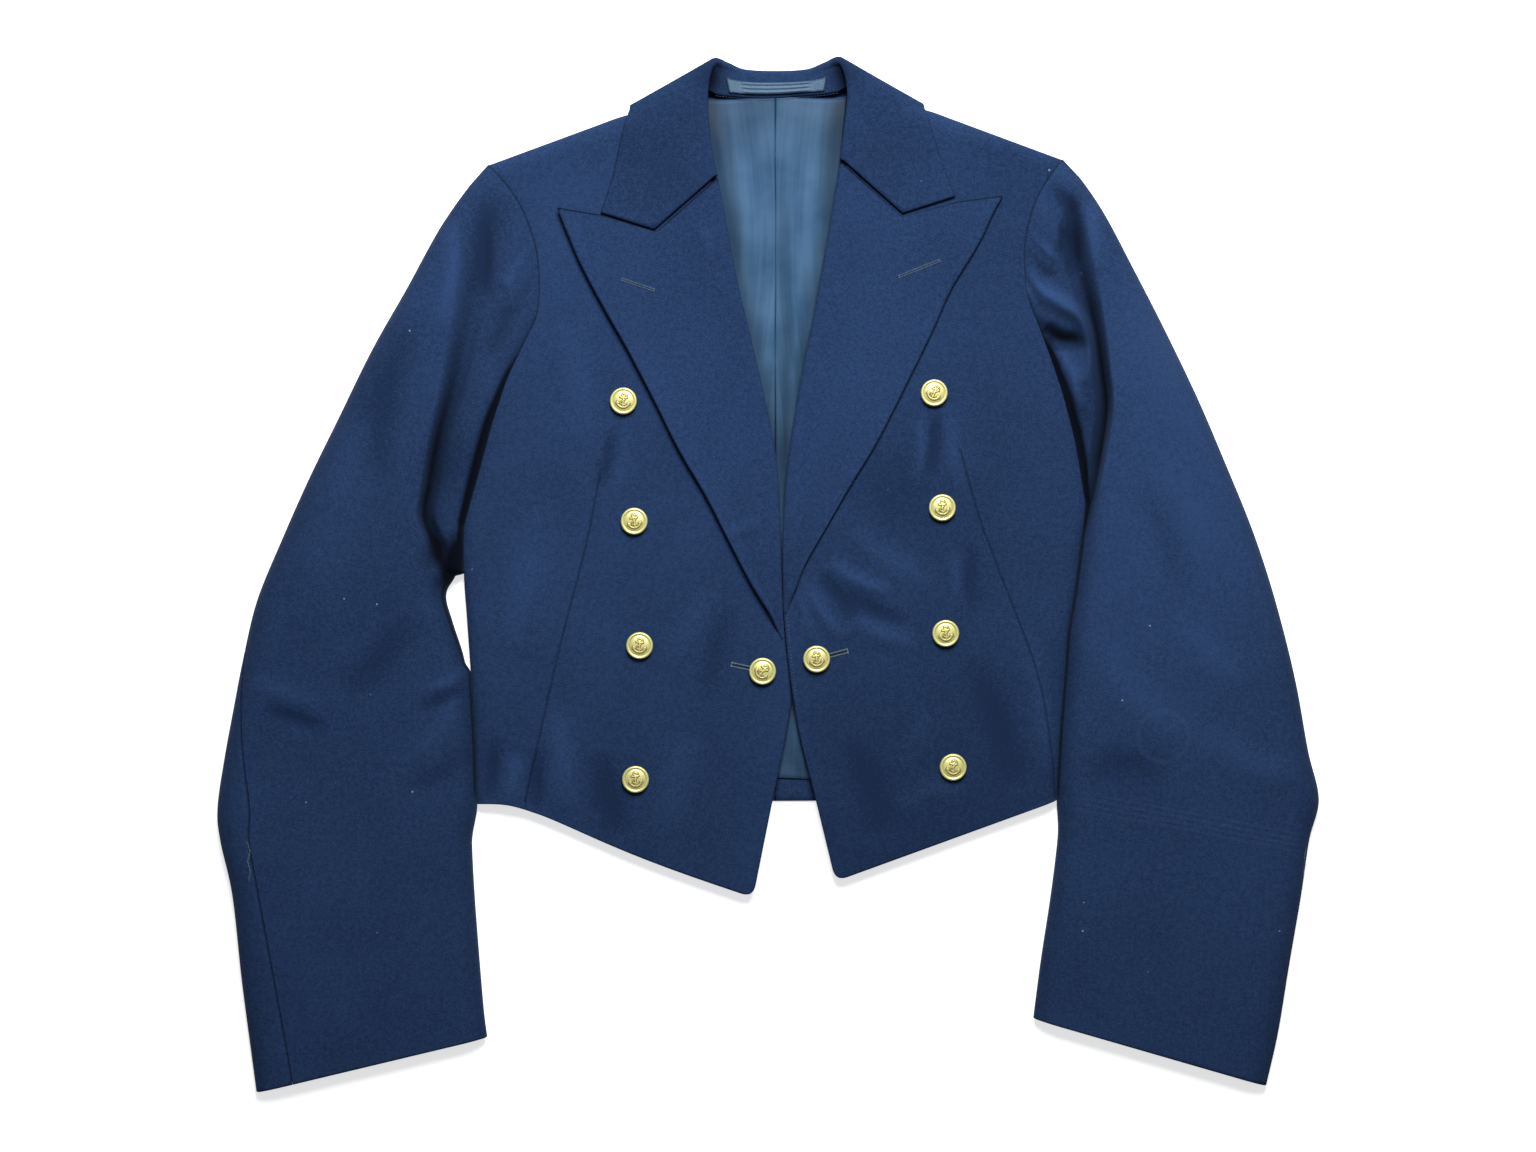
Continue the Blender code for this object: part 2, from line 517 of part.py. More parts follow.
def hanger_loop():
    grid = collar_grid()
    stand = grid[:, :3]
    rows = np.linspace(0.0, len(grid) - 1.0, len(grid))
    flat = stand.reshape(len(grid), -1)
    first = np.interp(LOOP_ROWS[0], [0, 14], [0, len(grid) - 1])
    final = np.interp(LOOP_ROWS[1], [0, 14], [0, len(grid) - 1])
    picked = straight(np.column_stack([rows, flat]), np.linspace(first, final, 13)).reshape(13, 3, 3)
    bands = np.linspace(1.0 - LOOP_BAND[1], 1.0 - LOOP_BAND[0], 4)
    along = np.linspace(0.0, 1.0, 3)
    face = np.array([straight(np.column_stack([along, line]), bands) for line in picked])
    normal = face_normals(face, (6, 1))
    add_wall("hanger_loop", face + normal * (SEAM + LOOP_WALL), face + normal * SEAM, RIBBON, 0.6)


def button(name, side, x, y):
    base = front_height(side, x, y) + SEAM
    around = np.linspace(0.0, 2 * np.pi, BUTTON_SIDES, endpoint=False)
    points = [(x, y, base)]
    for radius, height in BUTTON_PROFILE:
        points.extend((x + radius * np.cos(a), y + radius * np.sin(a), base + height) for a in around)
    points.append((x, y, base + BUTTON_CROWN))
    top = len(points) - 1
    faces = []
    for i in range(BUTTON_SIDES):
        j = (i + 1) % BUTTON_SIDES
        faces.append((0, 1 + j, 1 + i))
        for ring in range(len(BUTTON_PROFILE) - 1):
            low = 1 + ring * BUTTON_SIDES
            high = low + BUTTON_SIDES
            faces.extend([(low + i, low + j, high + j), (low + i, high + j, high + i)])
        faces.append((high + i, high + j, top))
    add_object(name, points, faces, GILT, 0.3, 1.0)


for wearer_side in ("left", "right"):
    back(wearer_side)
    lining(wearer_side)
    front(wearer_side)
    lapel(wearer_side)
    sleeve(wearer_side, "topsleeve")
    sleeve(wearer_side, "undersleeve")
    *front_buttons, link_button = BUTTONS[wearer_side]
    for number, centre in enumerate(front_buttons, start=1):
        button("button_" + wearer_side + "_" + str(number), wearer_side, *centre)
    button("link_button_" + wearer_side, wearer_side, *link_button)
collar()
hanger_loop()
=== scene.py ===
"""Looks of the mess jacket: finer cloth with its folds and seams, sewing, lining, ribbon loop, gilt buttons.

Tables and sizes are millimetres and the meshes are metres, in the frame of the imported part. The cloth is
made again from the same tables as the solids, with closer sections and the smaller folds.
Left and right are the wearer's, so the left side of the jacket lies at +X.
"""
import math

import bpy
import numpy as np
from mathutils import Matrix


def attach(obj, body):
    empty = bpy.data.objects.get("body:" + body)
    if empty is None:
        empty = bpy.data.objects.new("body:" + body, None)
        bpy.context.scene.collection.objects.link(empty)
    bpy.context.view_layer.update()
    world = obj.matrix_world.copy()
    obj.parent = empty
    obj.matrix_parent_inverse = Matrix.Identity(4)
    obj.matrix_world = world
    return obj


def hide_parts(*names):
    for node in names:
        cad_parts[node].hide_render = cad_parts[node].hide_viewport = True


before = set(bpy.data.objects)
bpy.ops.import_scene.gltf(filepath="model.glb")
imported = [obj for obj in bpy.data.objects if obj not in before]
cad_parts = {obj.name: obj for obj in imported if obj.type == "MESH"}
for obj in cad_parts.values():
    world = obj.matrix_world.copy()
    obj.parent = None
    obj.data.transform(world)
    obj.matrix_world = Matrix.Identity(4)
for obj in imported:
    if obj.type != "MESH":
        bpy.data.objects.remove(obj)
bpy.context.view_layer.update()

MM = 0.001
SEAM = 0.4
BODY_WALL = 1.8
LAPEL_WALL = 1.5
COLLAR_WALL = 1.6
SLEEVE_WALL = 1.6
LINING_WALL = 1.0
LOOP_WALL = 1.0

SIGN = {"left": 1.0, "right": -1.0}
CENTRE_X = 5.5
FRAME_Y = -0.497

# Front edge: (y, x) of the fold of collar and lapel from the neck to the break, then of the cut edge.
FRONT_EDGE = {
    "left": [(-227, 50), (-165, 35), (-113, 22.2), (-88, 18), (-55, 13.9), (-22, 11.3), (0, 10.8), (32, 10.8),
             (86, 15), (126, 21), (216, 38), (307, 53), (336, 56.5), (366, 59.5)],
    "right": [(-239, -11), (-169, 3), (-117, 13.6), (-93, 17), (-78, 15.9), (-41, 12.0), (0, 10.2), (36, 9.4),
              (88, 6), (135, -3), (216, -22), (295, -37), (320, -42), (363, -45)],
}
# Front rows from shoulder to hem: y at the front edge, x and y at the armhole and side, and how far
# the side turns down to the seam with the back (0 none, 1 all the way).
FRONT_ROWS = {
    "left": [(366, 219, 309, 0.2), (348, 205, 289, 0.2), (324, 196, 270, 0.2), (307, 191, 246, 0.2),
             (272, 191, 224, 0.2), (234, 194, 204, 0.3), (187, 204, 178, 0.45), (135, 218, 138, 0.6),
             (92, 228, 101, 0.8), (53, 236, 53, 1), (23, 232, 20, 1), (-7, 228, -12, 1),
             (-37, 223, -42, 1), (-69, 221, -69, 1), (-97, 219, -93, 1), (-129, 217, -119, 1),
             (-164, 216, -137, 1), (-197, 215, -154, 1), (-227, 215, -167, 1)],
    "right": [(363, -208, 305, 0.2), (345, -191, 285, 0.2), (320, -179, 263, 0.2), (295, -171, 234, 0.2),
              (254, -171, 197, 0.2), (213, -180, 175, 0.3), (173, -194, 146, 0.45), (134, -205, 113, 0.6),
              (100, -215, 76, 0.8), (64, -226, 36, 1), (23, -226, 0, 1), (-9, -224, -29, 1),
              (-41, -222, -57, 1), (-75, -220, -86, 1), (-105, -218.5, -112, 1), (-130, -217.5, -131, 1),
              (-165, -217, -149, 1), (-205, -216.7, -161, 1), (-239, -216.5, -170, 1)],
}
ARMHOLE_ROWS = {"left": 5.0, "right": 4.2}
# Rows of the fronts that are made, closer together at the shoulder, on the chest and at the hem.
FRONT_STEPS = np.array([0, 0.04, 0.15, 0.33, 0.6, *np.arange(1, 6, 0.5), *range(6, 18), 17.7, 17.87, 18])
FRONT_COLUMNS = 72
FRONT_COLUMN_SPREAD = 1.25
# Rows and columns that are made for each step of a table, and steps round a turned side.
FRONT_FINENESS = 11
BACK_FINENESS = 6
BACK_COLUMN_FINENESS = 40
LINING_FINENESS = 7
LINING_COLUMN_FINENESS = 140
FRONT_SIDE_STEPS = 9
BACK_SIDE_STEPS = 7
BREAK_Y = {"left": -22.0, "right": -41.0}
FRONT_CROWN = 10.0
NECK_CROWN = 2.5
SHOULDER_TURN = 14.0
SHOULDER_DIP = 6.0
SIDE_TURN = 12.0
FRONT_SEAM_Z = 4.6
BACK_SEAM_Z = 4.2
BACK_TURN = 6.0
BACK_TURN_RAMP = (0.2, 0.8)
ROLL_INSET = 5.2
CORNER_INSET = 3.6
CORNER_REACH = 10.0
CORNER_STEPS = 12
HEM_LIFT = {"left": 0.0, "right": 8.5}
HEM_LIFT_ROW = 12.0
HEM_LIFT_SKEW = 3.1
# Ramps, each a start and a run: the roll's inset above the break, the crown's rise to the neck, and from the
# centre the end of the shoulder's dip.
INSET_RAMP = (2.0, 16.0)
NECK_RAMP = (290.0, 50.0)
DIP_RAMP = (75.0, 50.0)

# Lapel rows from the gorge to the break: y on the roll, x and y of the outer edge.
LAPEL_ROWS = {
    "left": [(307, 174, 281), (287, 166, 266), (268, 156, 245), (231, 136, 212), (196, 122, 181),
             (159, 102, 140), (123, 81, 99), (89, 61, 66), (56, 43, 35), (26, 28, 9), (0, 20.5, -9),
             (-16, 16.8, -19), (-27, 13.6, -29)],
    "right": [(295, -156, 272), (269, -148, 252), (243, -138, 229), (205, -121, 197), (175, -105, 169),
              (135, -85, 131), (105, -66, 93), (71, -46, 59), (36, -28, 24), (4, -12, -6), (-22, 1, -26),
              (-35, 6.5, -38), (-46, 10.4, -48)],
}
# Bend of a lapel's top edge off its chord: share of the width, x toward the roll, y.
LAPEL_BEND = [(0.0, 0.0, 0.0), (0.435, 6.2, -30.5), (0.74, 2.0, -11.0), (1.0, 0.0, 0.0)]
LAPEL_BEND_ROWS = 3.5
LAPEL_SHARES = [0.0, 0.1, 0.22, 0.33, 0.435, 0.54, 0.64, 0.74, 0.87, 1.0]
LAPEL_RISE = 1.4
LAPEL_RISE_REACH = 18.0
LAPEL_SECTIONS = 130
LAPEL_COLUMN_FINENESS = 46
CURL_STEPS = 12
LAPEL_END_ROWS = 2.5
LAPEL_EDGE_LIFT = {"left": 1.2, "right": 3.6}
LAPEL_EDGE_SHARE = 0.7
COLLAR_EDGE_LIFT = 0.4
ROLL_RADIUS = 2.6
ROLL_RETURN = 2.0
ROLL_LEAST_SHARE = 0.4
LAPEL_END_LIFT = 0.6
# Shade along the first two rows of a lapel, at its top edge.
LAPEL_TOP_SHADE = [[0.6], [0.15]]

# Collar sections from the right gorge round the neck to the left gorge: centre of the fold x, y, z,
# its radius, its turn in degrees, the neck edge x, y, z, the outer edge x, y, z, and how fast it falls.
COLLAR_ROWS = [
    (-39.6, 295, 10.8, 2.6, 0, -42.0, 295, 8.2, -124, 268.4, 12.2, 1),
    (-45.2, 325, 12.0, 2.6, 0, -47.4, 325, 9.4, -115, 296, 12.3, 1),
    (-47.0, 352, 14.0, 2.7, 8, -48.0, 350, 10.8, -107, 332, 13.0, 1),
    (-45.5, 369, 16.0, 3.0, 45, -46.0, 359, 10.2, -103.5, 344, 9.5, 1),
    (-40.0, 379, 15.0, 3.2, 90, -38.0, 356, 9.0, -101.5, 349, 5.0, 1),
    (-31.0, 377, 9.5, 3.4, 140, -27.0, 355, 7.8, -90, 337, 0.6, 3),
    (-18.0, 372.5, 4.6, 3.6, 170, -12.0, 354, 7.4, -55, 331, 0, 3),
    (5.5, 371.4, 3.6, 3.6, 180, 5.5, 354, 7.3, 5.5, 328, 0, 3),
    (29.0, 372.5, 4.6, 3.6, 170, 24.0, 355.5, 7.4, 66, 331, 0, 3),
    (43.0, 377, 9.5, 3.4, 140, 40.0, 356.5, 7.8, 101, 338, 0.6, 3),
    (53.0, 380, 15.0, 3.2, 90, 51.0, 358, 9.0, 114, 350, 5.0, 1),
    (59.0, 371, 16.0, 3.0, 45, 60.0, 361, 10.2, 117, 345, 9.5, 1),
    (61.2, 354, 14.0, 2.7, 8, 62.2, 352, 10.8, 121, 331, 13.0, 1),
    (59.1, 335, 12.0, 2.6, 0, 61.3, 335, 9.4, 130, 303, 12.3, 1),
    (55.6, 307, 10.8, 2.6, 0, 58.0, 307, 8.2, 139, 280.4, 12.2, 1),
]
# Hollows in shade inside the neck: line of (x, y), strength, half width; and the columns they are on.
NECK_HOLLOWS = [
    ([(-37, 382), (-41, 369), (-45, 352)], 0.85, 6.0),
    ([(50, 383), (55, 370), (60, 354)], 0.85, 6.0),
]
NECK_COLUMNS = 14
COLLAR_BEND = [(0.0, 0.0, 0.0), (0.62, 7.6, -22.6), (1.0, 0.0, 0.0)]
COLLAR_BEND_ROWS = 1.3
COLLAR_SHARES = [0.0, 0.15, 0.3, 0.46, 0.62, 0.8, 1.0]
# Sections that fall slower than this lie on the fronts and are raised clear of them.
COLLAR_LEAF_FALL = 1.5
COLLAR_LEAF_RUN = 5.0
COLLAR_SECTIONS = 197
COLLAR_ROW_STEP = 0.05
STAND_STEPS = 10
COLLAR_FOLD_STEPS = 14
COLLAR_COLUMN_FINENESS = 26
# Hanger loop: collar rows at its ends, share of the stand that it covers, and the cords along it.
LOOP_ROWS = (4.9, 9.1)
LOOP_BAND = (0.34, 0.85)
LOOP_CORDS = 3
LOOP_CORD_HEIGHT = 1.0
LOOP_CORD_BASE = 0.5
# Ramps along the loop where the cords start and end.
LOOP_RAMPS = [(0.16, 0.08), (0.84, -0.08)]
LOOP_SECTIONS = 57
LOOP_RINGS = 61
LOOP_LINES = 31

# Lift of the back over the fall of the collar that lies beneath it.
LIFT_MIDDLE = 3.3
LIFT_SHOULDER = 1.7
LIFT_CLEARANCE = 1.4
# Ramps of the lift: its rise and its end from the centre, and its growth up the back.
LIFT_RISE_RAMP = (40.0, 40.0)
LIFT_END_RAMP = (95.0, 35.0)
LIFT_UP_RAMP = (215.0, 113.0)
BACK_HEM_Y = -168.0
BACK_NECK_Y = 357.0
# Bend of the back's top edge off its chord: share of the width, y.
BACK_BEND = [(0.0, 0.0), (0.15, 5.0), (0.2, 7.5), (0.25, 11.0), (0.4, 8.5), (0.55, 11.0), (1.0, 0.0)]
BACK_BEND_ROWS = 3.0
BACK_ROWS = np.array([0, 0.35, 0.7, 1.05, 1.4, 1.75, 2.1, 2.5, 3, 3.5, 4, 4.5, 5, *range(6, 19)])
BACK_SIDE_SHARES = [0.955, 0.85, 0.7, 0.6, 0.5, 0.4]
BACK_SHARES = [0.25, 0.2, 0.15, 0.07, 0.0]
LINING_TOP_ROW = 0.04
LINING_LAST_ROW = 17.4
# How the lining rises beside its centre seam: height, reach.
LINING_SWELL = (0.9, 9.0)
LINING_RIM_ROWS = 0.5
# Shade down the lining: amount, then the start and run of a ramp of y.
LINING_SHADES = [(0.95, 36.0, -40.0), (-0.5, -92.0, -20.0), (0.3, 290.0, 60.0)]
# Shade beside the rolls: amount, reach, and the ramp of y above which it shows.
ROLL_SHADE = 0.55
ROLL_SHADE_REACH = 9.0
ROLL_SHADE_RAMP = (20.0, 40.0)
# How the centre seam wavers: width, length, and the ramps of y between which it does.
SEAM_WAVER = 1.1
SEAM_WAVER_LENGTH = 31.0
SEAM_WAVER_RAMPS = [(120.0, 60.0), (350.0, -40.0)]

# Sleeve rows from the armhole to the cuff: x, y of the outer edge, x, y of the inner edge, crown,
# and the hind seam's distance from the outer edge.
SLEEVE_ROWS = {
    "left": [(219, 309, 194, 204, 11, 1), (232, 295, 203, 185, 17, 1), (250, 268, 215, 156, 22, 1),
             (271, 228, 224, 125, 25, 1), (294, 183, 232, 93, 26, 1), (319, 131, 238, 64, 26, 1),
             (340, 82, 239, 47, 25, 1), (358, 38, 235, 23, 24, 1), (372, -3, 230, -9, 23, 1),
             (384, -46, 225, -45, 22, 1), (393, -85, 221, -87, 21, 1), (401, -130, 219, -129, 20, 1),
             (409, -166, 217, -165, 19, 1), (402, -196, 215, -196, 18, 1), (396, -237, 210, -237, 17, 1),
             (387, -290, 203, -283, 15, 1), (379, -339, 199, -313, 13, 1), (370, -379, 197, -329, 12, 1)],
    "right": [(-208, 305, -172.3, 193, 11, 1), (-222, 289, -186, 162, 17, 1), (-244, 257, -201, 129, 22, 1),
              (-268, 213, -212, 95, 25, 1), (-294, 167, -222, 62, 26, 1), (-319, 116, -228, 33, 26, 1),
              (-341, 71, -231, 3, 25, 1), (-361, 26, -239, -14, 24, 1), (-379, -18, -234, -35, 23, 1),
              (-389, -59, -226, -60, 22, 2), (-397, -100, -222, -85, 21, 8), (-404, -137, -221, -119, 20, 17),
              (-409, -173, -220, -160, 19, 26), (-407, -197, -220, -193, 18, 24),
              (-398, -238, -218, -235, 17, 22), (-391, -301, -214, -288, 15, 26),
              (-384, -354, -211, -323, 13, 28), (-380, -384, -208.5, -343, 12, 29)],
}
SLEEVE_EDGE_Z = 4.8
SLEEVE_LEAST_CROWN = 6.0
SLEEVE_TURN = 20.0
SLEEVE_BEND = 2.6
SLEEVE_FLOOR_TURN = 6.0
FORE_SEAM = 25.0
HIND_GAP = 0.1
ARMHOLE_BLEND_ROWS = 4.0
# Ridge of the fold inside each upper sleeve: y, x, how deep the cloth drops beside it toward the body, and
# how wide the drop is.
SLEEVE_RIDGE = {
    "left": [(5, 230, 0, 3), (49, 240, 8, 3), (88, 248, 15, 3), (127, 253.4, 19, 3), (152, 251, 18, 4),
             (191, 245.5, 15, 7), (218, 240, 11, 10), (247, 234, 7, 12), (274, 227, 0, 12)],
    "right": [(-16, -240, 0, 6), (10, -246, 8, 6), (29, -253, 14, 5), (40, -257, 17, 4), (69, -254, 17, 4),
              (98, -249, 15, 5), (138, -239.6, 11, 9), (176, -233, 7, 12), (213, -227.6, 5, 14),
              (237, -226, 3, 14), (262, -226, 0, 14)],
}
# Shade past the ridge: amount, reach; and the drop at which it is full.
RIDGE_SHADES = [(0.5, 5.0), (0.5, 15.0)]
RIDGE_FULL_DROP = 15.0
RIDGE_LEAD = 0.3
EDGE_SHADE = 0.3
EDGE_SHADE_REACH = 9.0
EDGE_SHADE_ROWS = 3.0
STRIP_RISE = 0.5
STRIP_REACH = 10.0
# Hollows that lie in deep shade on each sleeve: line of (x, y), strength, half width.
SLEEVE_HOLLOWS = {
    "left": [
        ([(199, 192), (208, 183), (218, 177), (229, 175), (233, 166)], 1.0, 5.0),
        ([(208, 178), (209, 166), (213, 152)], 0.75, 4.0),
        ([(214, 268), (217, 248), (213, 232)], 0.40, 5.0),
        ([(226, 292), (229, 262), (230, 232)], 0.28, 5.5),
        ([(200, 229), (207, 226), (214, 221)], 0.50, 3.5),
        ([(198, 262), (201, 252), (205, 243)], 0.40, 3.5),
        ([(217, 284), (223, 276), (229, 268)], 0.32, 5.0),
    ],
    "right": [
        ([(-228, 34), (-231, 10), (-239, -12)], 0.95, 9.0),
        ([(-240, 30), (-247, 18), (-246, 4)], 0.60, 7.0),
        ([(-208, 282), (-206, 250), (-207, 206)], 0.16, 5.0),
        ([(-186, 214), (-194, 190), (-206, 160)], 0.30, 8.0),
        ([(-173, 246), (-183, 236), (-196, 230)], 0.40, 4.0),
    ],
}
# Shaded gap between each sleeve and the body: how it starts at the hem and armhole, and its y, width.
CREVICE_HEM_RUN = 12.0
CREVICE_ROWS = 2.0
CREVICE_REACH = 1.3
CREVICE_FADE = 0.8
CREVICE = {
    "left": [(-168, 1.4), (30, 1.8), (60, 3.4), (85, 7.0), (133, 10.5), (158, 8.0), (178, 3.2), (230, 1.0)],
    "right": [(-168, 1.4), (-70, 1.4), (0, 3.0), (43, 6.0), (80, 9.5), (111, 11.5), (150, 7.5), (167, 4.0),
              (230, 1.0)],
}
# How near a sleeve's edge lies to the body where the two are laid against each other.
NESTLE_REACH = 6.5
NESTLE_RUN = 1.2
NESTLE_HEM_RUN = 30.0
# How much nearer it has to lie between two heights, and the ramps of y there.
APART = {"left": 0.0, "right": 3.0}
APART_RAMPS = [(2.0, -14.0), (-80.0, 10.0)]
ARMHOLE_GAP = -0.5
SIDE_GAP = -0.6

# Painted light on folds: how much lighter the cloth is for each millimetre a fold rises; painted shade where
# it sinks.
FOLD_LIGHT = 0.15
HOLLOW_SHADE = 0.3
SHADING_LIMITS = (-0.5, 0.45)
# How the panels are painted lighter or darker, partly the lie of the nap and partly painted light and shade:
# x, y, reach, amount.
NAP_TONES_AND_SHADING = {
    "front_left": [(120, -170, 110, -0.34), (150, 40, 90, -0.12), (190, 300, 70, -0.20), (60, -40, 50, -0.05),
                   (92, 66, 36, -0.22)],
    "front_right": [(-165, 230, 80, 0.16), (-150, -20, 80, 0.05), (-90, -190, 70, -0.14)],
    "topsleeve_left": [(300, 40, 110, 0.40), (276, 170, 50, 0.20), (300, -250, 90, 0.03),
                       (230, 120, 24, -0.50), (214, 240, 30, -0.12)],
    "topsleeve_right": [(-320, -40, 90, -0.10), (-280, 190, 50, 0.06), (-262, 90, 22, 0.10),
                        (-236, 84, 22, -0.35), (-196, 230, 34, -0.14)],
    "collar": [(-85, 320, 60, -0.26), (95, 325, 60, -0.18), (-46, 374, 12, -0.5), (60, 376, 12, -0.5)],
    "lapel_left": [(60, 130, 60, 0.14), (120, 235, 40, -0.08)],
    "lapel_right": [(-50, 110, 60, 0.12), (-40, 230, 40, -0.12)],
}

# Traces of lace on the left cuff: line of the rows (x, y), and the ring's centre x, y and radius.
LACE_LINE = [(222, -164), (300, -179), (404, -199)]
LACE_RING = (291, -119, 19)
LACE_PITCH = 0.0042
LACE_FADE = 0.06
# Greatest distances from the rows and from the ring that are kept.
LACE_ROW_LIMIT = 14.0
LACE_RING_LIMIT = 12.0

# Button centres (x, y) down each front; the last is the link button at the front edge.
BUTTONS = {
    "left": [(123, 135), (129, 50), (131.5, -43), (137, -142), (36, -62)],
    "right": [(-107, 129), (-99, 40), (-95, -52), (-98, -151), (-4, -71)],
}
# How far each button has turned on its shank, in degrees.
BUTTON_TURNS = {"left": [-24, 4, 6, -5, 8], "right": [-6, 9, -4, 5, -38]}

# Panel seam down each front, from the chest to the hem: (x, y).
PANEL_SEAMS = {
    "left": [(140, 102), (155, 48), (168, 12), (199, -71), (210, -130), (213, -164)],
    "right": [(-123, 84), (-135, 22), (-155, -56), (-180, -167)],
}
# Groove of a panel seam: depth, reach, and the share of its length over which it starts.
PANEL_GROOVE = 0.5
PANEL_GROOVE_REACH = 4.0
PANEL_GROOVE_FADE = 0.06
# Soft folds: line of (x, y), height, half width.
FRONT_FOLDS = {
    "left": [
        ([(24, -2), (34, -18), (46, -36), (60, -48)], 2.6, 5.0),
        ([(40, 2), (54, -18), (66, -34)], -2.2, 5.0),
        ([(44, 10), (66, -4), (92, -14)], 2.8, 6.0),
        ([(58, -12), (76, -26), (104, -36)], -1.8, 6.0),
        ([(62, -30), (84, -44), (112, -52)], 2.2, 7.0),
        ([(22, -14), (28, -32), (31, -50)], 1.4, 3.5),
        ([(60, 34), (92, 8), (122, -10)], 1.8, 9.0),
        ([(138, 20), (139, -6), (143, -28)], 1.6, 5.0),
        ([(152, 24), (150, 0), (150, -30)], -1.4, 5.0),
        ([(112, 118), (114, 92), (110, 66)], 2.4, 4.5),
        ([(124, 120), (123, 96), (120, 72)], -2.4, 4.0),
        ([(134, 120), (137, 90), (142, 60)], 2.0, 5.0),
        ([(100, -150), (112, -120), (118, -96)], 1.4, 10.0),
        ([(150, -60), (170, -110), (184, -160)], -1.6, 12.0),
        ([(190, -40), (202, -96), (208, -150)], 1.8, 7.0),
        ([(60, -120), (76, -160), (84, -196)], -1.2, 12.0),
        ([(96, -176), (120, -160), (150, -164)], 1.4, 9.0),
    ],
    "right": [
        ([(-116, 108), (-119, 86), (-126, 62)], -1.8, 4.5),
        ([(-104, 112), (-107, 86), (-113, 58)], 1.2, 5.0),
        ([(-36, 29), (-20, 34), (-3, 41)], 1.3, 3.5),
        ([(-54, 262), (-47, 250), (-40, 234)], 1.3, 4.5),
        ([(-186, -132), (-190, -154), (-193, -172)], 2.6, 7.0),
        ([(-202, -120), (-205, -146), (-206, -168)], -1.8, 6.0),
        ([(-170, -128), (-172, -150), (-172, -176)], -2.0, 6.0),
        ([(-158, -96), (-154, -130), (-148, -176)], 2.4, 10.0),
        ([(-124, -130), (-120, -160), (-112, -196)], -1.6, 10.0),
        ([(-60, -120), (-70, -160), (-72, -196)], 1.6, 14.0),
        ([(-170, 60), (-178, 10), (-190, -60)], 1.6, 14.0),
        ([(-150, 190), (-140, 140), (-134, 96)], 1.5, 14.0),
        ([(-26, -20), (-40, -60), (-46, -96)], -1.2, 9.0),
        ([(-40, -10), (-62, -46), (-78, -70)], 1.2, 9.0),
    ],
}
SLEEVE_FOLDS = {
    "left": [
        ([(188, 218), (205, 207), (217, 199), (229, 191), (237, 178), (238, 160), (234, 140)], 8.5, 6.0),
        ([(205, 184), (216, 175), (230, 172)], -6.0, 6.0),
        ([(214, 166), (224, 148), (230, 120)], 3.4, 5.0),
        ([(216, 288), (225, 264), (227, 238), (222, 220)], -3.0, 5.5),
        ([(212, 276), (213, 256), (212, 240)], 2.6, 4.5),
        ([(200, 246), (208, 238), (216, 231)], 2.4, 3.5),
        ([(240, 276), (238, 252), (243, 222)], 3.2, 7.0),
        ([(262, 236), (300, 150), (322, 60)], 1.2, 22.0),
        ([(270, 64), (292, 30), (310, -20)], -1.1, 12.0),
        ([(286, 90), (310, 50), (336, 6)], 1.0, 12.0),
        ([(300, -30), (326, -60), (352, -84)], 1.6, 12.0),
        ([(236, -40), (276, -96), (330, -132)], 1.8, 14.0),
        ([(396, -150), (360, -142), (320, -118)], 1.6, 12.0),
        ([(232, -150), (262, -140), (300, -150)], -1.2, 12.0),
    ],
    "right": [
        ([(-384, -78), (-356, -88), (-326, -96)], 1.5, 7.0),
        ([(-372, -98), (-350, -106), (-324, -114)], -1.9, 5.0),
        ([(-222, -74), (-238, -81), (-256, -85)], 1.5, 3.5),
        ([(-222, -84), (-240, -92), (-260, -99)], -1.6, 4.0),
        ([(-226, -90), (-240, -112), (-262, -138)], 1.4, 7.0),
        ([(-220, -124), (-240, -146), (-274, -158)], -1.2, 8.0),
        ([(-300, 120), (-318, 40), (-340, -40)], 1.4, 20.0),
        ([(-212, 288), (-209, 250), (-212, 204)], -2.2, 6.0),
        ([(-190, 264), (-184, 232), (-188, 194)], 3.6, 7.5),
        ([(-174, 246), (-184, 236), (-196, 230)], -2.8, 4.0),
        ([(-174, 232), (-184, 222), (-198, 212)], 2.0, 5.0),
        ([(-236, 266), (-232, 226), (-241, 176)], 3.2, 8.0),
        ([(-262, 196), (-282, 130), (-290, 60)], -1.6, 13.0),
        ([(-262, -30), (-292, -70), (-318, -84)], -1.4, 12.0),
    ],
}
LINING_FOLDS = [
    ([(-30, 352), (-20, 250), (-6, 120), (-2, -20)], 2.0, 7.0),
    ([(-12, 350), (-6, 240), (0, 120), (2, 0)], -0.9, 5.0),
    ([(16, 350), (14, 240), (11, 120), (10, 0)], -1.0, 4.5),
    ([(34, 352), (26, 250), (17, 120), (13, -10)], 2.4, 6.0),
    ([(48, 352), (40, 260), (30, 160), (20, 20)], -0.8, 6.0),
    ([(-40, 340), (-32, 300), (-26, 250)], 1.6, 5.0),
    ([(16, -100), (20, -128), (26, -150)], 1.8, 4.0),
    ([(6, -104), (10, -130), (12, -150)], -1.0, 3.0),
]
# Hollows of the lining that lie in shade: line of (x, y), strength, half width.
LINING_HOLLOWS = [
    ([(11, 310), (12, 220), (12, 130), (11, 50)], 0.42, 4.5),
    ([(-36, 356), (-28, 300), (-18, 220)], 0.25, 6.0),
    ([(50, 356), (44, 310), (38, 260)], 0.30, 6.0),
    ([(-2, 130), (2, 70), (6, 20)], 0.40, 4.0),
]


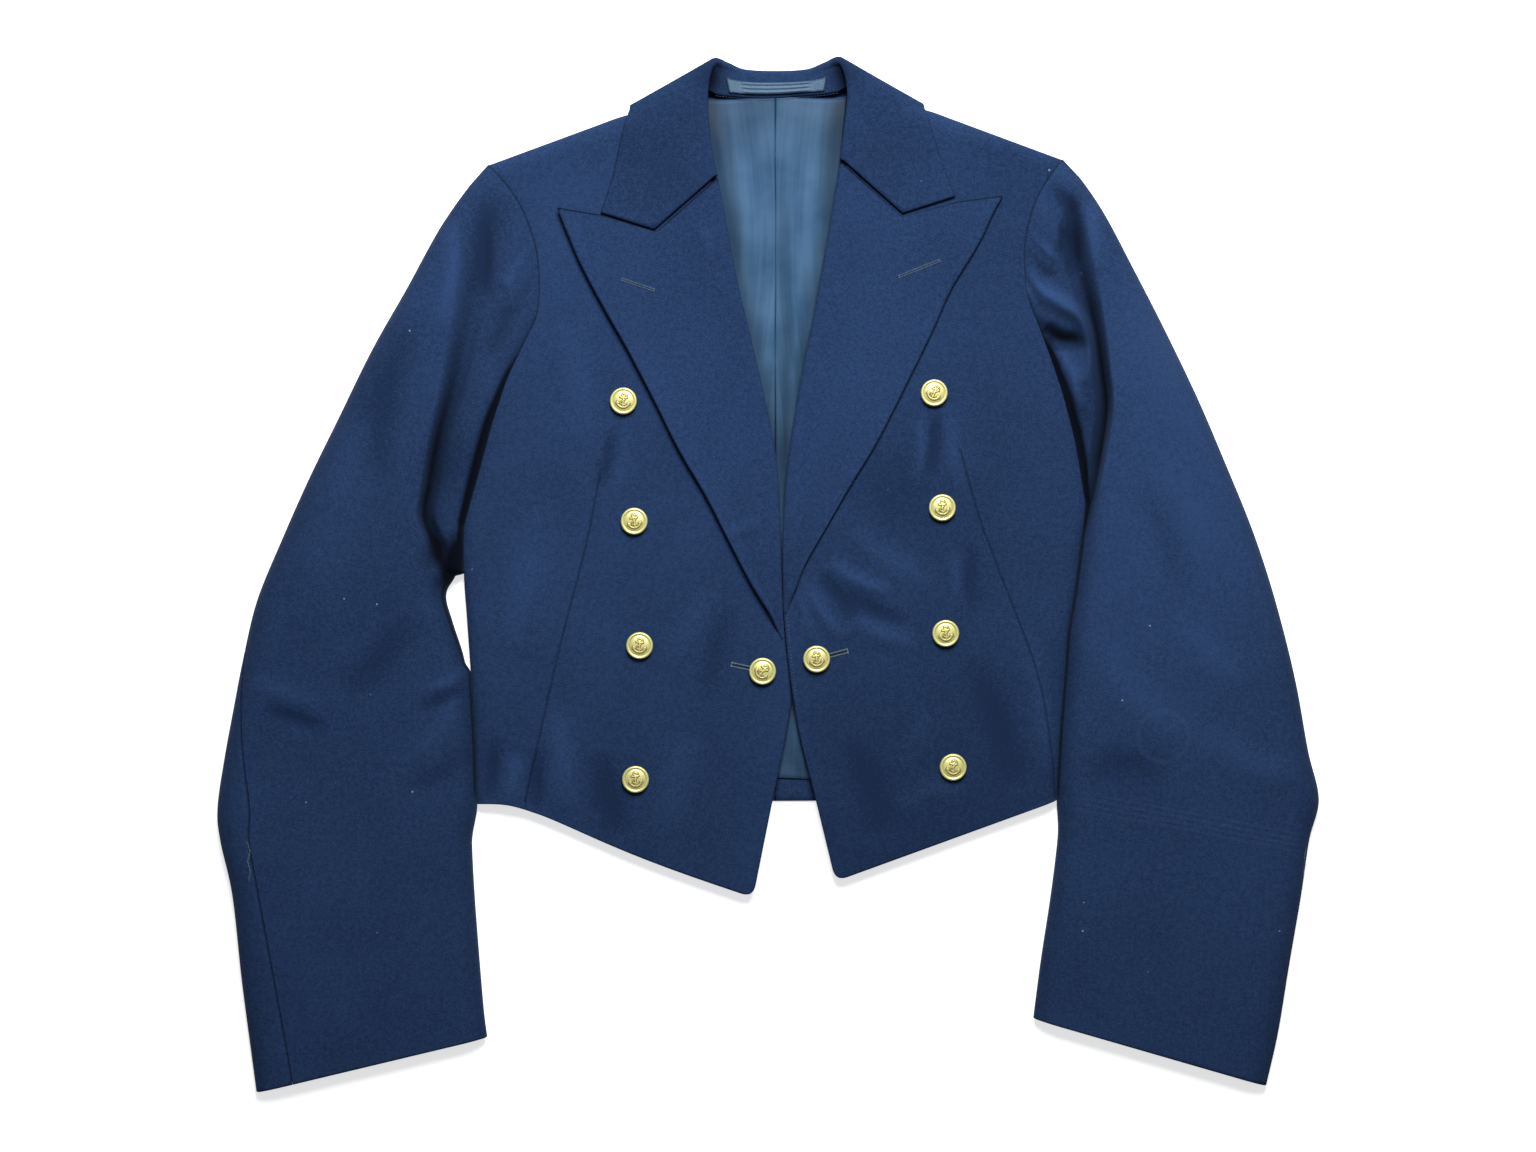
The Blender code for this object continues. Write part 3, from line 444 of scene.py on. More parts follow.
def spline(table, at):
    """Smooth curve through a table whose first column rises; returns the other columns."""
    table = np.asarray(table, dtype=float)
    keys = table[:, 0]
    values = table[:, 1:]
    at = np.asarray(at, dtype=float)
    slopes = np.gradient(values, keys, axis=0)
    low = np.clip(np.searchsorted(keys, at, side="right") - 1, 0, len(keys) - 2)
    step = (keys[low + 1] - keys[low])[..., None]
    t = (at[..., None] - keys[low][..., None]) / step
    start = values[low] * (1 + 2 * t) * (1 - t) ** 2 + slopes[low] * step * t * (1 - t) ** 2
    end = values[low + 1] * t * t * (3 - 2 * t) - slopes[low + 1] * step * t * t * (1 - t)
    return start + end


def numbered(rows):
    """Table with its row number put in front as the key."""
    rows = np.asarray(rows, dtype=float)
    return np.column_stack([np.arange(len(rows)), rows])


def straight(table, at):
    """Straight lines through a table whose first column rises; returns the other columns."""
    table = np.asarray(table, dtype=float)
    return np.stack([np.interp(at, table[:, 0], column) for column in table[:, 1:].T], axis=-1)


def ease(t):
    """Smooth step from 0 to 1."""
    t = np.clip(t, 0.0, 1.0)
    return t * t * (3.0 - 2.0 * t)


def ramp(value, start, run):
    """Smooth step from 0 at the start to 1 at the end of its run; a negative run goes down."""
    return ease((value - start) / run)


def bell(value, width):
    """Bell that is 1 at 0 and fades on both sides."""
    return np.exp(-((value / width) ** 2))


def rounded(distance, reach):
    """Quarter-ellipse rise from 0 at an edge to 1 at the reach."""
    t = np.clip(distance / reach, 0.0, 1.0)
    return np.sqrt(1.0 - (1.0 - t) ** 2)


def turn_steps(reach, count, turn=1.0):
    """Distances from an edge that follow its quarter-ellipse evenly, or even steps where it turns less."""
    even = np.linspace(0.0, 1.0, count)
    return reach * (turn * (1.0 - np.cos(even * np.pi / 2)) + (1.0 - turn) * even)


def turned(distance, reach, turn):
    """Share of the fall at a turned edge: a quarter-ellipse at a full turn, gentler at a part turn."""
    t = np.clip(distance / reach, 0.0, 1.0)
    return turn * (turn * (1.0 - rounded(distance, reach)) + (1.0 - turn) * (1.0 - t) ** 2)


def refine(steps, per_unit):
    """The same steps with more between them, so that none are further apart than 1 / per_unit."""
    finer = [steps[0]]
    for low, high in zip(steps[:-1], steps[1:]):
        count = max(2, math.ceil(abs(high - low) * per_unit))
        finer.extend(np.linspace(low, high, count + 1)[1:])
    return np.array(finer)


def smooth_line(points, count=24):
    """Points along a smooth line through a few given ones."""
    return spline(numbered(points), np.linspace(0.0, len(points) - 1.0, count))


def along_line(line, x, y):
    """Signed distance of every place from a line of points, and the share of its length passed there."""
    line = np.asarray(line, dtype=float)
    steps = np.hypot(*np.diff(line, axis=0).T)
    passed = 0.0
    nearest = np.full(np.shape(x), 1e6)
    share = np.zeros(np.shape(x))
    for (x0, y0), (x1, y1), step in zip(line[:-1], line[1:], steps):
        ux = (x1 - x0) / step
        uy = (y1 - y0) / step
        reach = np.clip((x - x0) * ux + (y - y0) * uy, 0.0, step)
        dx = x - x0 - reach * ux
        dy = y - y0 - reach * uy
        away = np.hypot(dx, dy) * np.where(ux * dy - uy * dx >= 0.0, 1.0, -1.0)
        closer = np.abs(away) < np.abs(nearest)
        nearest = np.where(closer, away, nearest)
        share = np.where(closer, (passed + reach) / steps.sum(), share)
        passed += step
    return nearest, share


# How bluntly a fold runs out at its ends.
FOLD_END = 0.7


def raised(folds, x, y):
    """Height that a table of soft folds adds at every place."""
    total = np.zeros(np.shape(x))
    for line, height, width in folds:
        away, share = along_line(smooth_line(line), x, y)
        total += height * bell(away, width) * np.maximum(np.sin(np.pi * share), 0.0) ** FOLD_END
    return total


def edge_x(side, y):
    """X of the front edge or roll at a height down the front."""
    return spline(FRONT_EDGE[side], y)[..., 0]


def side_row(side, row):
    """Front row at a row number: y at the edge, x, y at the side, turn of the side."""
    return spline(numbered(FRONT_ROWS[side]), row)


def roll_inset(side, y):
    """How far the front's cut edge lies inside the roll; none below the break."""
    return ROLL_INSET * ramp(y - BREAK_Y[side], *INSET_RAMP)


def collar_dip(x):
    """How far the shoulder edge stands back where the collar turns over it."""
    return SHOULDER_DIP * (1.0 - ramp(np.abs(x - CENTRE_X), *DIP_RAMP))


def shoulder_distance(side, x, y):
    """Distance in from the shoulder seam."""
    neck_y, end_x, end_y, _turn = FRONT_ROWS[side][0]
    neck_x = FRONT_EDGE[side][-1][1] + SIGN[side] * ROLL_INSET
    slope = (end_y - neck_y) / (end_x - neck_x)
    return (neck_y + slope * (x - neck_x) - collar_dip(x) - y) / np.hypot(1.0, slope)


def back_lift(x, y):
    """Height of the back's underside over the floor."""
    away = np.abs(x - CENTRE_X)
    lift = LIFT_MIDDLE + LIFT_SHOULDER * ramp(away, *LIFT_RISE_RAMP)
    return lift * (1.0 - ramp(away, *LIFT_END_RAMP)) * ramp(y, *LIFT_UP_RAMP)


def front_height(side, x, y):
    """Height of a front's outer face with its soft folds, falling to the back along the shoulder seam."""
    crown = FRONT_CROWN + NECK_CROWN * ramp(y, *NECK_RAMP)
    seam = LIFT_CLEARANCE * back_lift(x, y) + BODY_WALL + SEAM
    inside = rounded(shoulder_distance(side, x, y), SHOULDER_TURN)
    return seam + (crown - seam) * inside + raised(FRONT_FOLDS[side], x, y)


def face_normals(grid, upward_at):
    """Unit normals of a grid of points, signed so that the normal at one grid place points up."""
    across = np.gradient(grid, axis=1, edge_order=2)
    down = np.gradient(grid, axis=0, edge_order=2)
    normal = np.cross(across, down)
    normal = normal / np.linalg.norm(normal, axis=2, keepdims=True)
    return normal if normal[upward_at][2] > 0 else -normal


def arc_lengths(grid, axis):
    """Distance along each line of a grid from its first point."""
    steps = np.linalg.norm(np.diff(grid, axis=axis), axis=2)
    start = np.zeros_like(np.take(steps, [0], axis=axis))
    return np.concatenate([start, np.cumsum(steps, axis=axis)], axis=axis)


# Greatest share of the first step that the rim is drawn in.
PULL_LIMIT = 0.45


def pull_in(face, reach):
    """Draws the rim of a grid of points inward a little, so that the wall's edge is round."""
    face = face.copy()
    for rim, beside in ((np.s_[0], np.s_[1]), (np.s_[-1], np.s_[-2]),
                        (np.s_[:, 0], np.s_[:, 1]), (np.s_[:, -1], np.s_[:, -2])):
        inward = face[beside] - face[rim]
        length = np.linalg.norm(inward, axis=1, keepdims=True)
        face[rim] += inward / length * np.minimum(reach, PULL_LIMIT * length)
    return face


def in_frame(points):
    """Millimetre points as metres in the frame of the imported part."""
    return (np.asarray(points) - np.array([0.0, FRAME_Y, 0.0])) * MM


def add_object(name, data):
    """Object at the origin that holds a mesh, a light or a camera."""
    made = bpy.data.objects.new(name, data)
    bpy.context.scene.collection.objects.link(made)
    return made


def add_mesh(name, points, faces, material):
    """Smooth mesh of quads, faces turned outward, riding on the jacket; a corner given twice counts once."""
    points = in_frame(points)
    a, b, c, d = points[faces.T]
    volume = np.einsum("ij,ij->", a, np.cross(b, c)) + np.einsum("ij,ij->", a, np.cross(c, d))
    faces = faces if volume > 0 else faces[:, ::-1]
    mesh = bpy.data.meshes.new(name)
    mesh.from_pydata(points.tolist(), [], [tuple(dict.fromkeys(face)) for face in faces.tolist()])
    mesh.polygons.foreach_set("use_smooth", np.ones(len(mesh.polygons), dtype=bool))
    mesh.materials.append(material)
    mesh.update()
    piece = add_object(name, mesh)
    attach(piece, "root")
    return piece


def add_mark(piece, name, values):
    """Named value at each point of a piece, for its material to read."""
    mark = piece.data.attributes.new(name, "FLOAT", "POINT")
    mark.data.foreach_set("value", np.ascontiguousarray(values, dtype=np.float32))


# Outer face of each cloth piece, for what is sewn on it.
laid_faces = {}
# Distance from the edge that the inner face is given, and the limit of the distances from a seam.
INSIDE = 9.0
# Share of a wall's thickness by which its rim is drawn in.
RIM_SHARE = 0.35


def fold_shading(height):
    """Painted light on a fold of a given height, or painted shade in a hollow."""
    return np.clip(np.where(height > 0.0, FOLD_LIGHT, HOLLOW_SHADE) * height, *SHADING_LIMITS)


def nap_tone_and_shading(node, outer):
    """How much lighter or darker each place of a piece is painted, partly for the nap and partly as painted
    light and shade.
    """
    tone = np.zeros(outer.shape[:2])
    for x, y, reach, amount in NAP_TONES_AND_SHADING.get(node, []):
        tone += amount * bell(np.hypot(outer[..., 0] - x, outer[..., 1] - y), reach)
    return tone


def add_cloth(node, outer, normal, wall, material, marks=None):
    """Closed wall of cloth with a round rim for one CAD node; marks are values on its outer face."""
    rows, columns = outer.shape[:2]
    count = rows * columns
    index = np.arange(count).reshape(rows, columns)
    rim = np.concatenate([index[0, :-1], index[:-1, -1], index[-1, :0:-1], index[:0:-1, 0]])
    inner = outer - wall * normal
    middle = (outer - 0.5 * wall * normal).reshape(-1, 3)[rim]
    walls = [pull_in(face, RIM_SHARE * wall).reshape(-1, 3) for face in (outer, inner)]
    points = np.concatenate([*walls, middle])
    a, b, c, d = (part.ravel() for part in (index[:-1, :-1], index[:-1, 1:], index[1:, 1:], index[1:, :-1]))
    ahead = np.roll(rim, -1)
    band = 2 * count + np.arange(len(rim))
    band_ahead = np.roll(band, -1)
    faces = np.concatenate([
        np.column_stack([a, b, c, d]),
        count + np.column_stack([a, d, c, b]),
        np.column_stack([ahead, rim, band, band_ahead]),
        np.column_stack([band_ahead, band, count + rim, count + ahead]),
    ])
    piece = add_mesh(node + "_cloth", points, faces, material)
    across = arc_lengths(outer, 1)
    down = arc_lengths(outer, 0)
    grain = np.stack([across, down], axis=2).reshape(-1, 2) * MM
    grain = np.concatenate([grain, grain, grain[rim]])
    corners = np.zeros(len(piece.data.loops), dtype=np.int32)
    piece.data.loops.foreach_get("vertex_index", corners)
    layer = piece.data.uv_layers.new(name="grain")
    layer.data.foreach_set("uv", grain[corners].ravel())
    marks = dict(marks or {})
    # The tone mark carries the nap, painted light on folds, and painted shade in hollows and on the panels.
    marks["tone"] = marks.get("tone", 0.0) + nap_tone_and_shading(node, outer)
    for name, values in marks.items():
        flat = np.ravel(values)
        add_mark(piece, name, np.concatenate([flat, np.zeros(count), flat[rim]]))
    edge = np.minimum.reduce([across, across[:, -1:] - across, down, down[-1:] - down]).ravel()
    add_mark(piece, "edge", np.concatenate([edge, np.full(count, INSIDE), np.zeros(len(rim))]))
    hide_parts(node)
    laid_faces[node] = outer


class Shade:
    """A shader socket with arithmetic: an expression on values adds its Math nodes."""

    def __init__(self, tree, socket=None):
        self.tree = tree
        self.socket = socket

    def node(self, kind, settings=None, inputs=None, output=0):
        """Any node: its settings first, then the values or links of its sockets; returns one output."""
        made = self.tree.nodes.new(kind)
        for name, value in (settings or {}).items():
            setattr(made, name, value)
        for key, value in (inputs or {}).items():
            if isinstance(value, Shade):
                self.tree.links.new(value.socket, made.inputs[key])
            else:
                made.inputs[key].default_value = value
        return Shade(self.tree, made.outputs[output])

    def reckon(self, operation, first, second=0.0):
        return self.node("ShaderNodeMath", {"operation": operation}, {0: first, 1: second})

    def __add__(self, other):
        return self.reckon("ADD", self, other)

    def __radd__(self, other):
        return self.reckon("ADD", other, self)

    def __sub__(self, other):
        return self.reckon("SUBTRACT", self, other)

    def __rsub__(self, other):
        return self.reckon("SUBTRACT", other, self)

    def __mul__(self, other):
        return self.reckon("MULTIPLY", self, other)

    def __rmul__(self, other):
        return self.reckon("MULTIPLY", other, self)

    def sine(self):
        return self.reckon("SINE", self)

    def size(self):
        return self.reckon("ABSOLUTE", self)

    def between(self, start, end, low=0.0, high=1.0):
        """Smooth change from low at the start to high at the end."""
        inputs = {"Value": self, "From Min": start, "From Max": end, "To Min": low, "To Max": high}
        return self.node("ShaderNodeMapRange", {"interpolation_type": "SMOOTHSTEP"}, inputs)

    def tint(self, first, second):
        """Colour that goes from the first to the second by this value."""
        return self.node("ShaderNodeMix", {"data_type": "RGBA"}, {0: self, 6: first, 7: second}, 2)

    def place(self):
        """Object coordinates."""
        return self.node("ShaderNodeTexCoord", output="Object")

    def grain(self):
        """Coordinates along the threads of the cloth, in metres."""
        return self.node("ShaderNodeUVMap", {"uv_map": "grain"})

    def mark(self, name):
        """Named value of the mesh."""
        return self.node("ShaderNodeAttribute", {"attribute_name": name}, output="Fac")

    def axis(self, number):
        """One axis of these coordinates."""
        return self.node("ShaderNodeSeparateXYZ", inputs={0: self}, output=number)

    def noise(self, scale, detail):
        """Noise at these coordinates."""
        return self.node("ShaderNodeTexNoise", inputs={"Vector": self, "Scale": scale, "Detail": detail})

    def bump(self, strength, distance):
        """Normal of a face that has this relief."""
        inputs = {"Strength": strength, "Distance": distance, "Height": self}
        return self.node("ShaderNodeBump", inputs=inputs)


def new_finish(name, roughness, metallic=0.0, **constants):
    """New material; returns it, its Shade maker and its Principled shader."""
    material = bpy.data.materials.new(name)
    material.use_nodes = True
    shader = material.node_tree.nodes["Principled BSDF"]
    shader.inputs["Roughness"].default_value = roughness
    shader.inputs["Metallic"].default_value = metallic
    for socket, value in constants.items():
        shader.inputs[socket.replace("_", " ")].default_value = value
    return material, Shade(material.node_tree), shader


def feed(shader, values):
    """Links values to sockets of a shader."""
    for socket, value in values.items():
        value.tree.links.new(value.socket, shader.inputs[socket])


NAVY_DEEP = (0.0080, 0.0198, 0.0535, 1.0)
NAVY_PALE = (0.0206, 0.0468, 0.1225, 1.0)
# Near black for the panel seams and for painted shade: along the edges of pieces, in hollows, crevices and
# beside ridges.
NAVY_SEAM_AND_SHADE = (0.0006, 0.0014, 0.0040, 1.0)
NAVY_SHEEN = (0.30, 0.48, 0.95, 1.0)
LACE_PALE = (0.050, 0.085, 0.160, 1.0)
LINT = (0.260, 0.310, 0.390, 1.0)
LINT_SCALE = 42.0
YARN = 0.0007
# Scale and detail of the noise in the wool.
FIBRE = (900.0, 4.0)
FLECK = (330.0, 3.0)
MOTTLE = (16.0, 4.0)


def wool_finish():
    """Milled navy wool: fine twill, soft mottling, a few specks of lint, dark lines at the panel seams,
    painted shade at edges and in hollows, painted light on folds.
    """
    material, make, shader = new_finish(
        "navy_wool", 0.92, Sheen_Weight=0.06, Sheen_Roughness=0.5, Sheen_Tint=NAVY_SHEEN,
        Specular_IOR_Level=0.06)
    place = make.place()
    grain = make.grain()
    across = grain.axis(0)
    along = grain.axis(1)
    twill = ((across + along) * (2 * math.pi / YARN)).sine()
    yarns = ((along - across) * (math.pi / YARN)).sine()
    fibre = place.noise(*FIBRE)
    fleck = place.noise(*FLECK)
    mottle = place.noise(*MOTTLE)
    pale = mottle.between(0.25, 0.75) * 0.16 + fleck.between(0.3, 0.7) * 0.28 + fibre.between(0.3, 0.7) * 0.5
    # The tone mark paints light on folds and shade in hollows and on panels, with the lie of the nap.
    pale = pale + twill * 0.08 + make.mark("tone") - 0.04
    cells = {"Vector": place, "Scale": LINT_SCALE, "Randomness": 1.0}
    speck = make.node("ShaderNodeTexVoronoi", inputs=cells, output="Distance")
    kind = make.node("ShaderNodeTexVoronoi", inputs=cells, output="Color")
    chance = make.node("ShaderNodeSeparateColor", inputs={0: kind}, output=0)
    lint = speck.between(0.040, 0.018) * chance.between(0.66, 0.70)
    colour = (lint * 0.7).tint(pale.tint(NAVY_DEEP, NAVY_PALE), LINT)
    groove = make.mark("seam").size().between(1.5, 0.2) * make.mark("sewn")
    row = make.mark("lace_row")
    rows = (row * (2 * math.pi * MM / LACE_PITCH)).sine() * row.size().between(9.5, 8.0)
    trace = (rows + make.mark("lace_ring").size().between(2.4, 0.6)) * make.mark("laced")
    colour = (trace * 0.09).tint(colour, LACE_PALE)
    # Painted shade: near black along the edges of every piece and wherever the shade mark is set, beside the
    # dark seams.
    dark = groove * 0.42 + make.mark("edge").between(1.2, 0.2) * 0.36 + make.mark("shade")
    relief = twill * 0.25 + yarns * 0.15 + fibre * 0.9 + lint * 0.8 - groove * 2.0 + trace * 0.6
    feed(shader, {"Base Color": dark.tint(colour, NAVY_SEAM_AND_SHADE), "Roughness": 0.86 + fleck * 0.12,
                  "Normal": relief.bump(0.5, 0.00018)})
    return material


SATIN_DEEP = (0.006, 0.030, 0.078, 1.0)
SATIN_SHADE = (0.010, 0.018, 0.030, 1.0)
SATIN_PALE = (0.078, 0.162, 0.276, 1.0)
# How the satin's noise is drawn out along its warp.
WARP_DRAWN = (1.0, 0.03, 1.0)


def satin_finish():
    """Slate blue lining satin with a fine lengthwise weave, its centre seam, soft stains, and painted shade
    where the shade mark is set.
    """
    material, make, shader = new_finish("blue_satin", 0.42, Specular_IOR_Level=0.05)
    drawn = make.node("ShaderNodeVectorMath", {"operation": "MULTIPLY"}, {0: make.grain(), 1: WARP_DRAWN})
    streak = drawn.noise(420.0, 3.0)
    band = drawn.noise(75.0, 2.0)
    cloud = make.place().noise(24.0, 3.0)
    groove = make.mark("seam").size().between(0.7, 0.15) * make.mark("sewn")
    pale = band.between(0.25, 0.75) * 0.25 + cloud.between(0.25, 0.75) * 0.35 + streak * 0.35
    # Dark centre seam and painted shade from the shade mark.
    dark = groove * 0.3 + make.mark("shade")
    feed(shader, {"Base Color": dark.tint(pale.tint(SATIN_DEEP, SATIN_PALE), SATIN_SHADE),
                  "Roughness": 0.36 + streak * 0.16, "Normal": (streak - groove * 2.0).bump(0.35, 0.0001)})
    return material


RIBBON_PICK = 0.0007
RIBBON_DEEP = (0.026, 0.054, 0.098, 1.0)
RIBBON_PALE = (0.165, 0.265, 0.380, 1.0)


def ribbon_finish():
    """Woven ribbon of the hanger loop with raised cords along it."""
    material, make, shader = new_finish("blue_ribbon", 0.6, Specular_IOR_Level=0.12)
    ribs = (make.grain().axis(1) * (2 * math.pi / RIBBON_PICK)).sine()
    fibre = make.place().noise(1100.0, 3.0)
    pale = ribs * 0.12 + fibre * 0.9 - make.mark("edge").between(1.6, 0.2) * 0.5
    feed(shader, {"Base Color": pale.tint(RIBBON_DEEP, RIBBON_PALE), "Roughness": 0.5 + fibre * 0.2,
                  "Normal": (ribs + fibre * 0.6).bump(0.6, 0.0002)})
    return material


GILT_PALE = (0.780, 0.755, 0.310, 1.0)
# Dark gilt for painted shade in the hollows and for wear.
GILT_SHADE_AND_WEAR = (0.270, 0.190, 0.040, 1.0)


def gilt_finish():
    """Bright gilt with painted shade in the hollows of the relief, and a little worn."""
    material, make, shader = new_finish("gilt", 0.4, 0.55)
    wear = make.place().noise(500.0, 4.0)
    # Painted shade in the hollows beside the anchor and at the rim of the field, with a little wear.
    hollow_shade_and_wear = make.mark("hollow").between(0.1, 0.95) * 0.9 + wear.between(0.4, 0.8) * 0.12
    feed(shader, {"Base Color": hollow_shade_and_wear.tint(GILT_PALE, GILT_SHADE_AND_WEAR), "Normal": wear.bump(0.2, 0.00006),
                  "Roughness": 0.36 + hollow_shade_and_wear * 0.25 + wear * 0.12})
    return material


def thread_finish(name, deep, pale):
    """Sewing thread with a twist that shows as fine flecks."""
    material, make, shader = new_finish(name, 0.75, Sheen_Weight=0.05, Specular_IOR_Level=0.15)
    twist = make.place().noise(2400.0, 2.0)
    feed(shader, {"Base Color": twist.between(0.3, 0.7).tint(deep, pale), "Roughness": 0.55 + twist * 0.2})
    return material


WOOL = wool_finish()
SATIN = satin_finish()
RIBBON = ribbon_finish()
GILT = gilt_finish()
NAVY_THREAD = thread_finish("navy_thread", (0.018, 0.035, 0.070, 1.0), (0.050, 0.085, 0.140, 1.0))
GREY_THREAD = thread_finish("grey_thread", (0.075, 0.115, 0.130, 1.0), (0.190, 0.250, 0.260, 1.0))
TEAL_THREAD = thread_finish("teal_thread", (0.030, 0.060, 0.105, 1.0), (0.095, 0.155, 0.235, 1.0))
# Painted shade: near-black beads laid in each buttonhole's slit stand for the shade inside it.
SLIT_SHADOW = thread_finish("slit_shade", (0.002, 0.004, 0.010, 1.0), (0.004, 0.008, 0.018, 1.0))


def front_grid(side):
    """Outer face of a front from the side to the front edge, shoulder to hem."""
    sign = SIGN[side]
    last = len(FRONT_ROWS[side]) - 1
    rows = refine(FRONT_STEPS, FRONT_FINENESS)
    edge_y, side_x, side_y, turn = side_row(side, rows).T
    turn = np.clip(turn, 0.0, 1.0)
    start = np.stack([edge_x(side, edge_y) + sign * roll_inset(side, edge_y), edge_y], axis=1)
    end = np.stack([side_x, side_y], axis=1)
    width = np.linalg.norm(start - end, axis=1)
    spread = 1.0 - (1.0 - np.linspace(0.0, 1.0, FRONT_COLUMNS)[1:]) ** FRONT_COLUMN_SPREAD
    distance = []
    for reach, part in zip(width, turn):
        flat_part = SIDE_TURN + (reach - SIDE_TURN) * spread
        distance.append(np.concatenate([turn_steps(SIDE_TURN, FRONT_SIDE_STEPS, part), flat_part]))
    distance = np.array(distance)
    share = (distance / width[:, None])[..., None]
    plan = end[:, None] + (start - end)[:, None] * share
    plan[..., 1] -= collar_dip(plan[..., 0]) * np.clip(1.0 - rows / 2.0, 0.0, 1.0)[:, None] ** 2
    lift = HEM_LIFT[side] * ramp(rows, HEM_LIFT_ROW, last - HEM_LIFT_ROW)
    plan[..., 1] += lift[:, None] * np.sin(np.pi * np.clip(1.0 - share[..., 0], 0.0, 1.0) ** HEM_LIFT_SKEW)
    corner = plan[-1, -1]
    beside = (plan[-1, -CORNER_STEPS] - corner, plan[-CORNER_STEPS, -1] - corner)
    inward = sum(way / np.linalg.norm(way) for way in beside)
    near = np.clip(1.0 - np.linalg.norm(plan - corner, axis=2) / CORNER_REACH, 0.0, 1.0)
    plan += inward / np.linalg.norm(inward) * (CORNER_INSET * near ** 2)[..., None]
    height = front_height(side, plan[..., 0], plan[..., 1])
    drop = np.maximum(height - FRONT_SEAM_Z, 0.0) * turned(distance, SIDE_TURN, turn[:, None])
    return np.concatenate([plan, (height - drop)[..., None]], axis=2)


def add_front(side):
    """Front with the groove of its panel seam."""
    outer = front_grid(side)
    away, share = along_line(smooth_line(PANEL_SEAMS[side], 40), outer[..., 0], outer[..., 1])
    sewn = ease(share / PANEL_GROOVE_FADE)
    outer[..., 2] -= PANEL_GROOVE * bell(away, PANEL_GROOVE_REACH) * sewn
    # Painted light on the folds and painted shade in their hollows.
    tone = fold_shading(raised(FRONT_FOLDS[side], outer[..., 0], outer[..., 1]))
    marks = {"seam": np.clip(away, -INSIDE, INSIDE), "sewn": sewn, "tone": tone}
    add_cloth("front_" + side, outer, face_normals(outer, (60, 40)), BODY_WALL, WOOL, marks)


def back_grid(side, rows, steps, shares):
    """Underside of a back half; columns are a count of steps round the side, then shares from the centre."""
    last = len(FRONT_ROWS[side]) - 1
    _edge_y, side_x, side_y, turn = side_row(side, rows).T
    turn = np.clip(turn, 0.0, 1.0)
    middle_y = BACK_NECK_Y + (BACK_HEM_Y - BACK_NECK_Y) * rows / last
    start = np.stack([np.full_like(rows, CENTRE_X), middle_y], axis=1)
    end = np.stack([side_x, side_y], axis=1)
    width = np.linalg.norm(start - end, axis=1)
    distance = []
    for reach, part in zip(width, turn):
        distance.append(np.concatenate([turn_steps(BACK_TURN, steps, part), reach * (1.0 - shares)]))
    distance = np.array(distance)
    share = 1.0 - distance / width[:, None]
    plan = start[:, None] + (end - start)[:, None] * share[..., None]
    fade = np.clip(1.0 - rows / BACK_BEND_ROWS, 0.0, 1.0) ** 2
    plan[..., 1] += straight(BACK_BEND, share)[..., 0] * fade[:, None]
    rise = BACK_SEAM_Z * turned(distance, BACK_TURN, ramp(turn, *BACK_TURN_RAMP)[:, None])
    height = back_lift(plan[..., 0], plan[..., 1]) + rise
    return np.concatenate([plan, height[..., None]], axis=2)


def add_back(side):
    """Half of the back."""
    shares = refine(BACK_SIDE_SHARES + BACK_SHARES, BACK_COLUMN_FINENESS)
    outer = back_grid(side, refine(BACK_ROWS, BACK_FINENESS), BACK_SIDE_STEPS, shares)
    add_cloth("back_" + side, outer, -face_normals(outer, (60, 20)), BODY_WALL, WOOL)


def add_lining(side):
    """Half of the lining that shows between the fronts, with its folds and its shade."""
    rows = refine(np.concatenate([[LINING_TOP_ROW], BACK_ROWS[1:-1], [LINING_LAST_ROW]]), LINING_FINENESS)
    panel = back_grid(side, rows, 0, refine(BACK_SHARES, LINING_COLUMN_FINENESS))
    x = panel[..., 0]
    y = panel[..., 1]
    rim = ease(np.minimum(rows - rows[0], rows[-1] - rows)[:, None] / LINING_RIM_ROWS)
    swell, swell_reach = LINING_SWELL
    soft = raised(LINING_FOLDS, x, y) + swell * ease(np.abs(x - CENTRE_X) / swell_reach)
    lift = BODY_WALL + SEAM + LINING_WALL + np.maximum(soft, 0.0) * rim
    outer = panel + face_normals(panel, (60, 10)) * lift[..., None]
    shade = sum(amount * ramp(y, start, run) for amount, start, run in LINING_SHADES)
    beside_roll = np.maximum(np.minimum(edge_x("left", y) - x, x - edge_x("right", y)), 0.0)
    shade += ROLL_SHADE * bell(beside_roll, ROLL_SHADE_REACH) * ramp(y, *ROLL_SHADE_RAMP)
    shade += raised(LINING_HOLLOWS, x, y)
    rise, end = SEAM_WAVER_RAMPS
    centre = CENTRE_X + SEAM_WAVER * np.sin(y / SEAM_WAVER_LENGTH) * ramp(y, *rise) * ramp(y, *end)
    marks = {"seam": np.clip(x - centre, -INSIDE, INSIDE), "sewn": np.ones_like(x), "shade": shade}
    normal = face_normals(outer, (60, 10))
    add_cloth("lining_" + side, outer, normal, LINING_WALL, SATIN, marks)


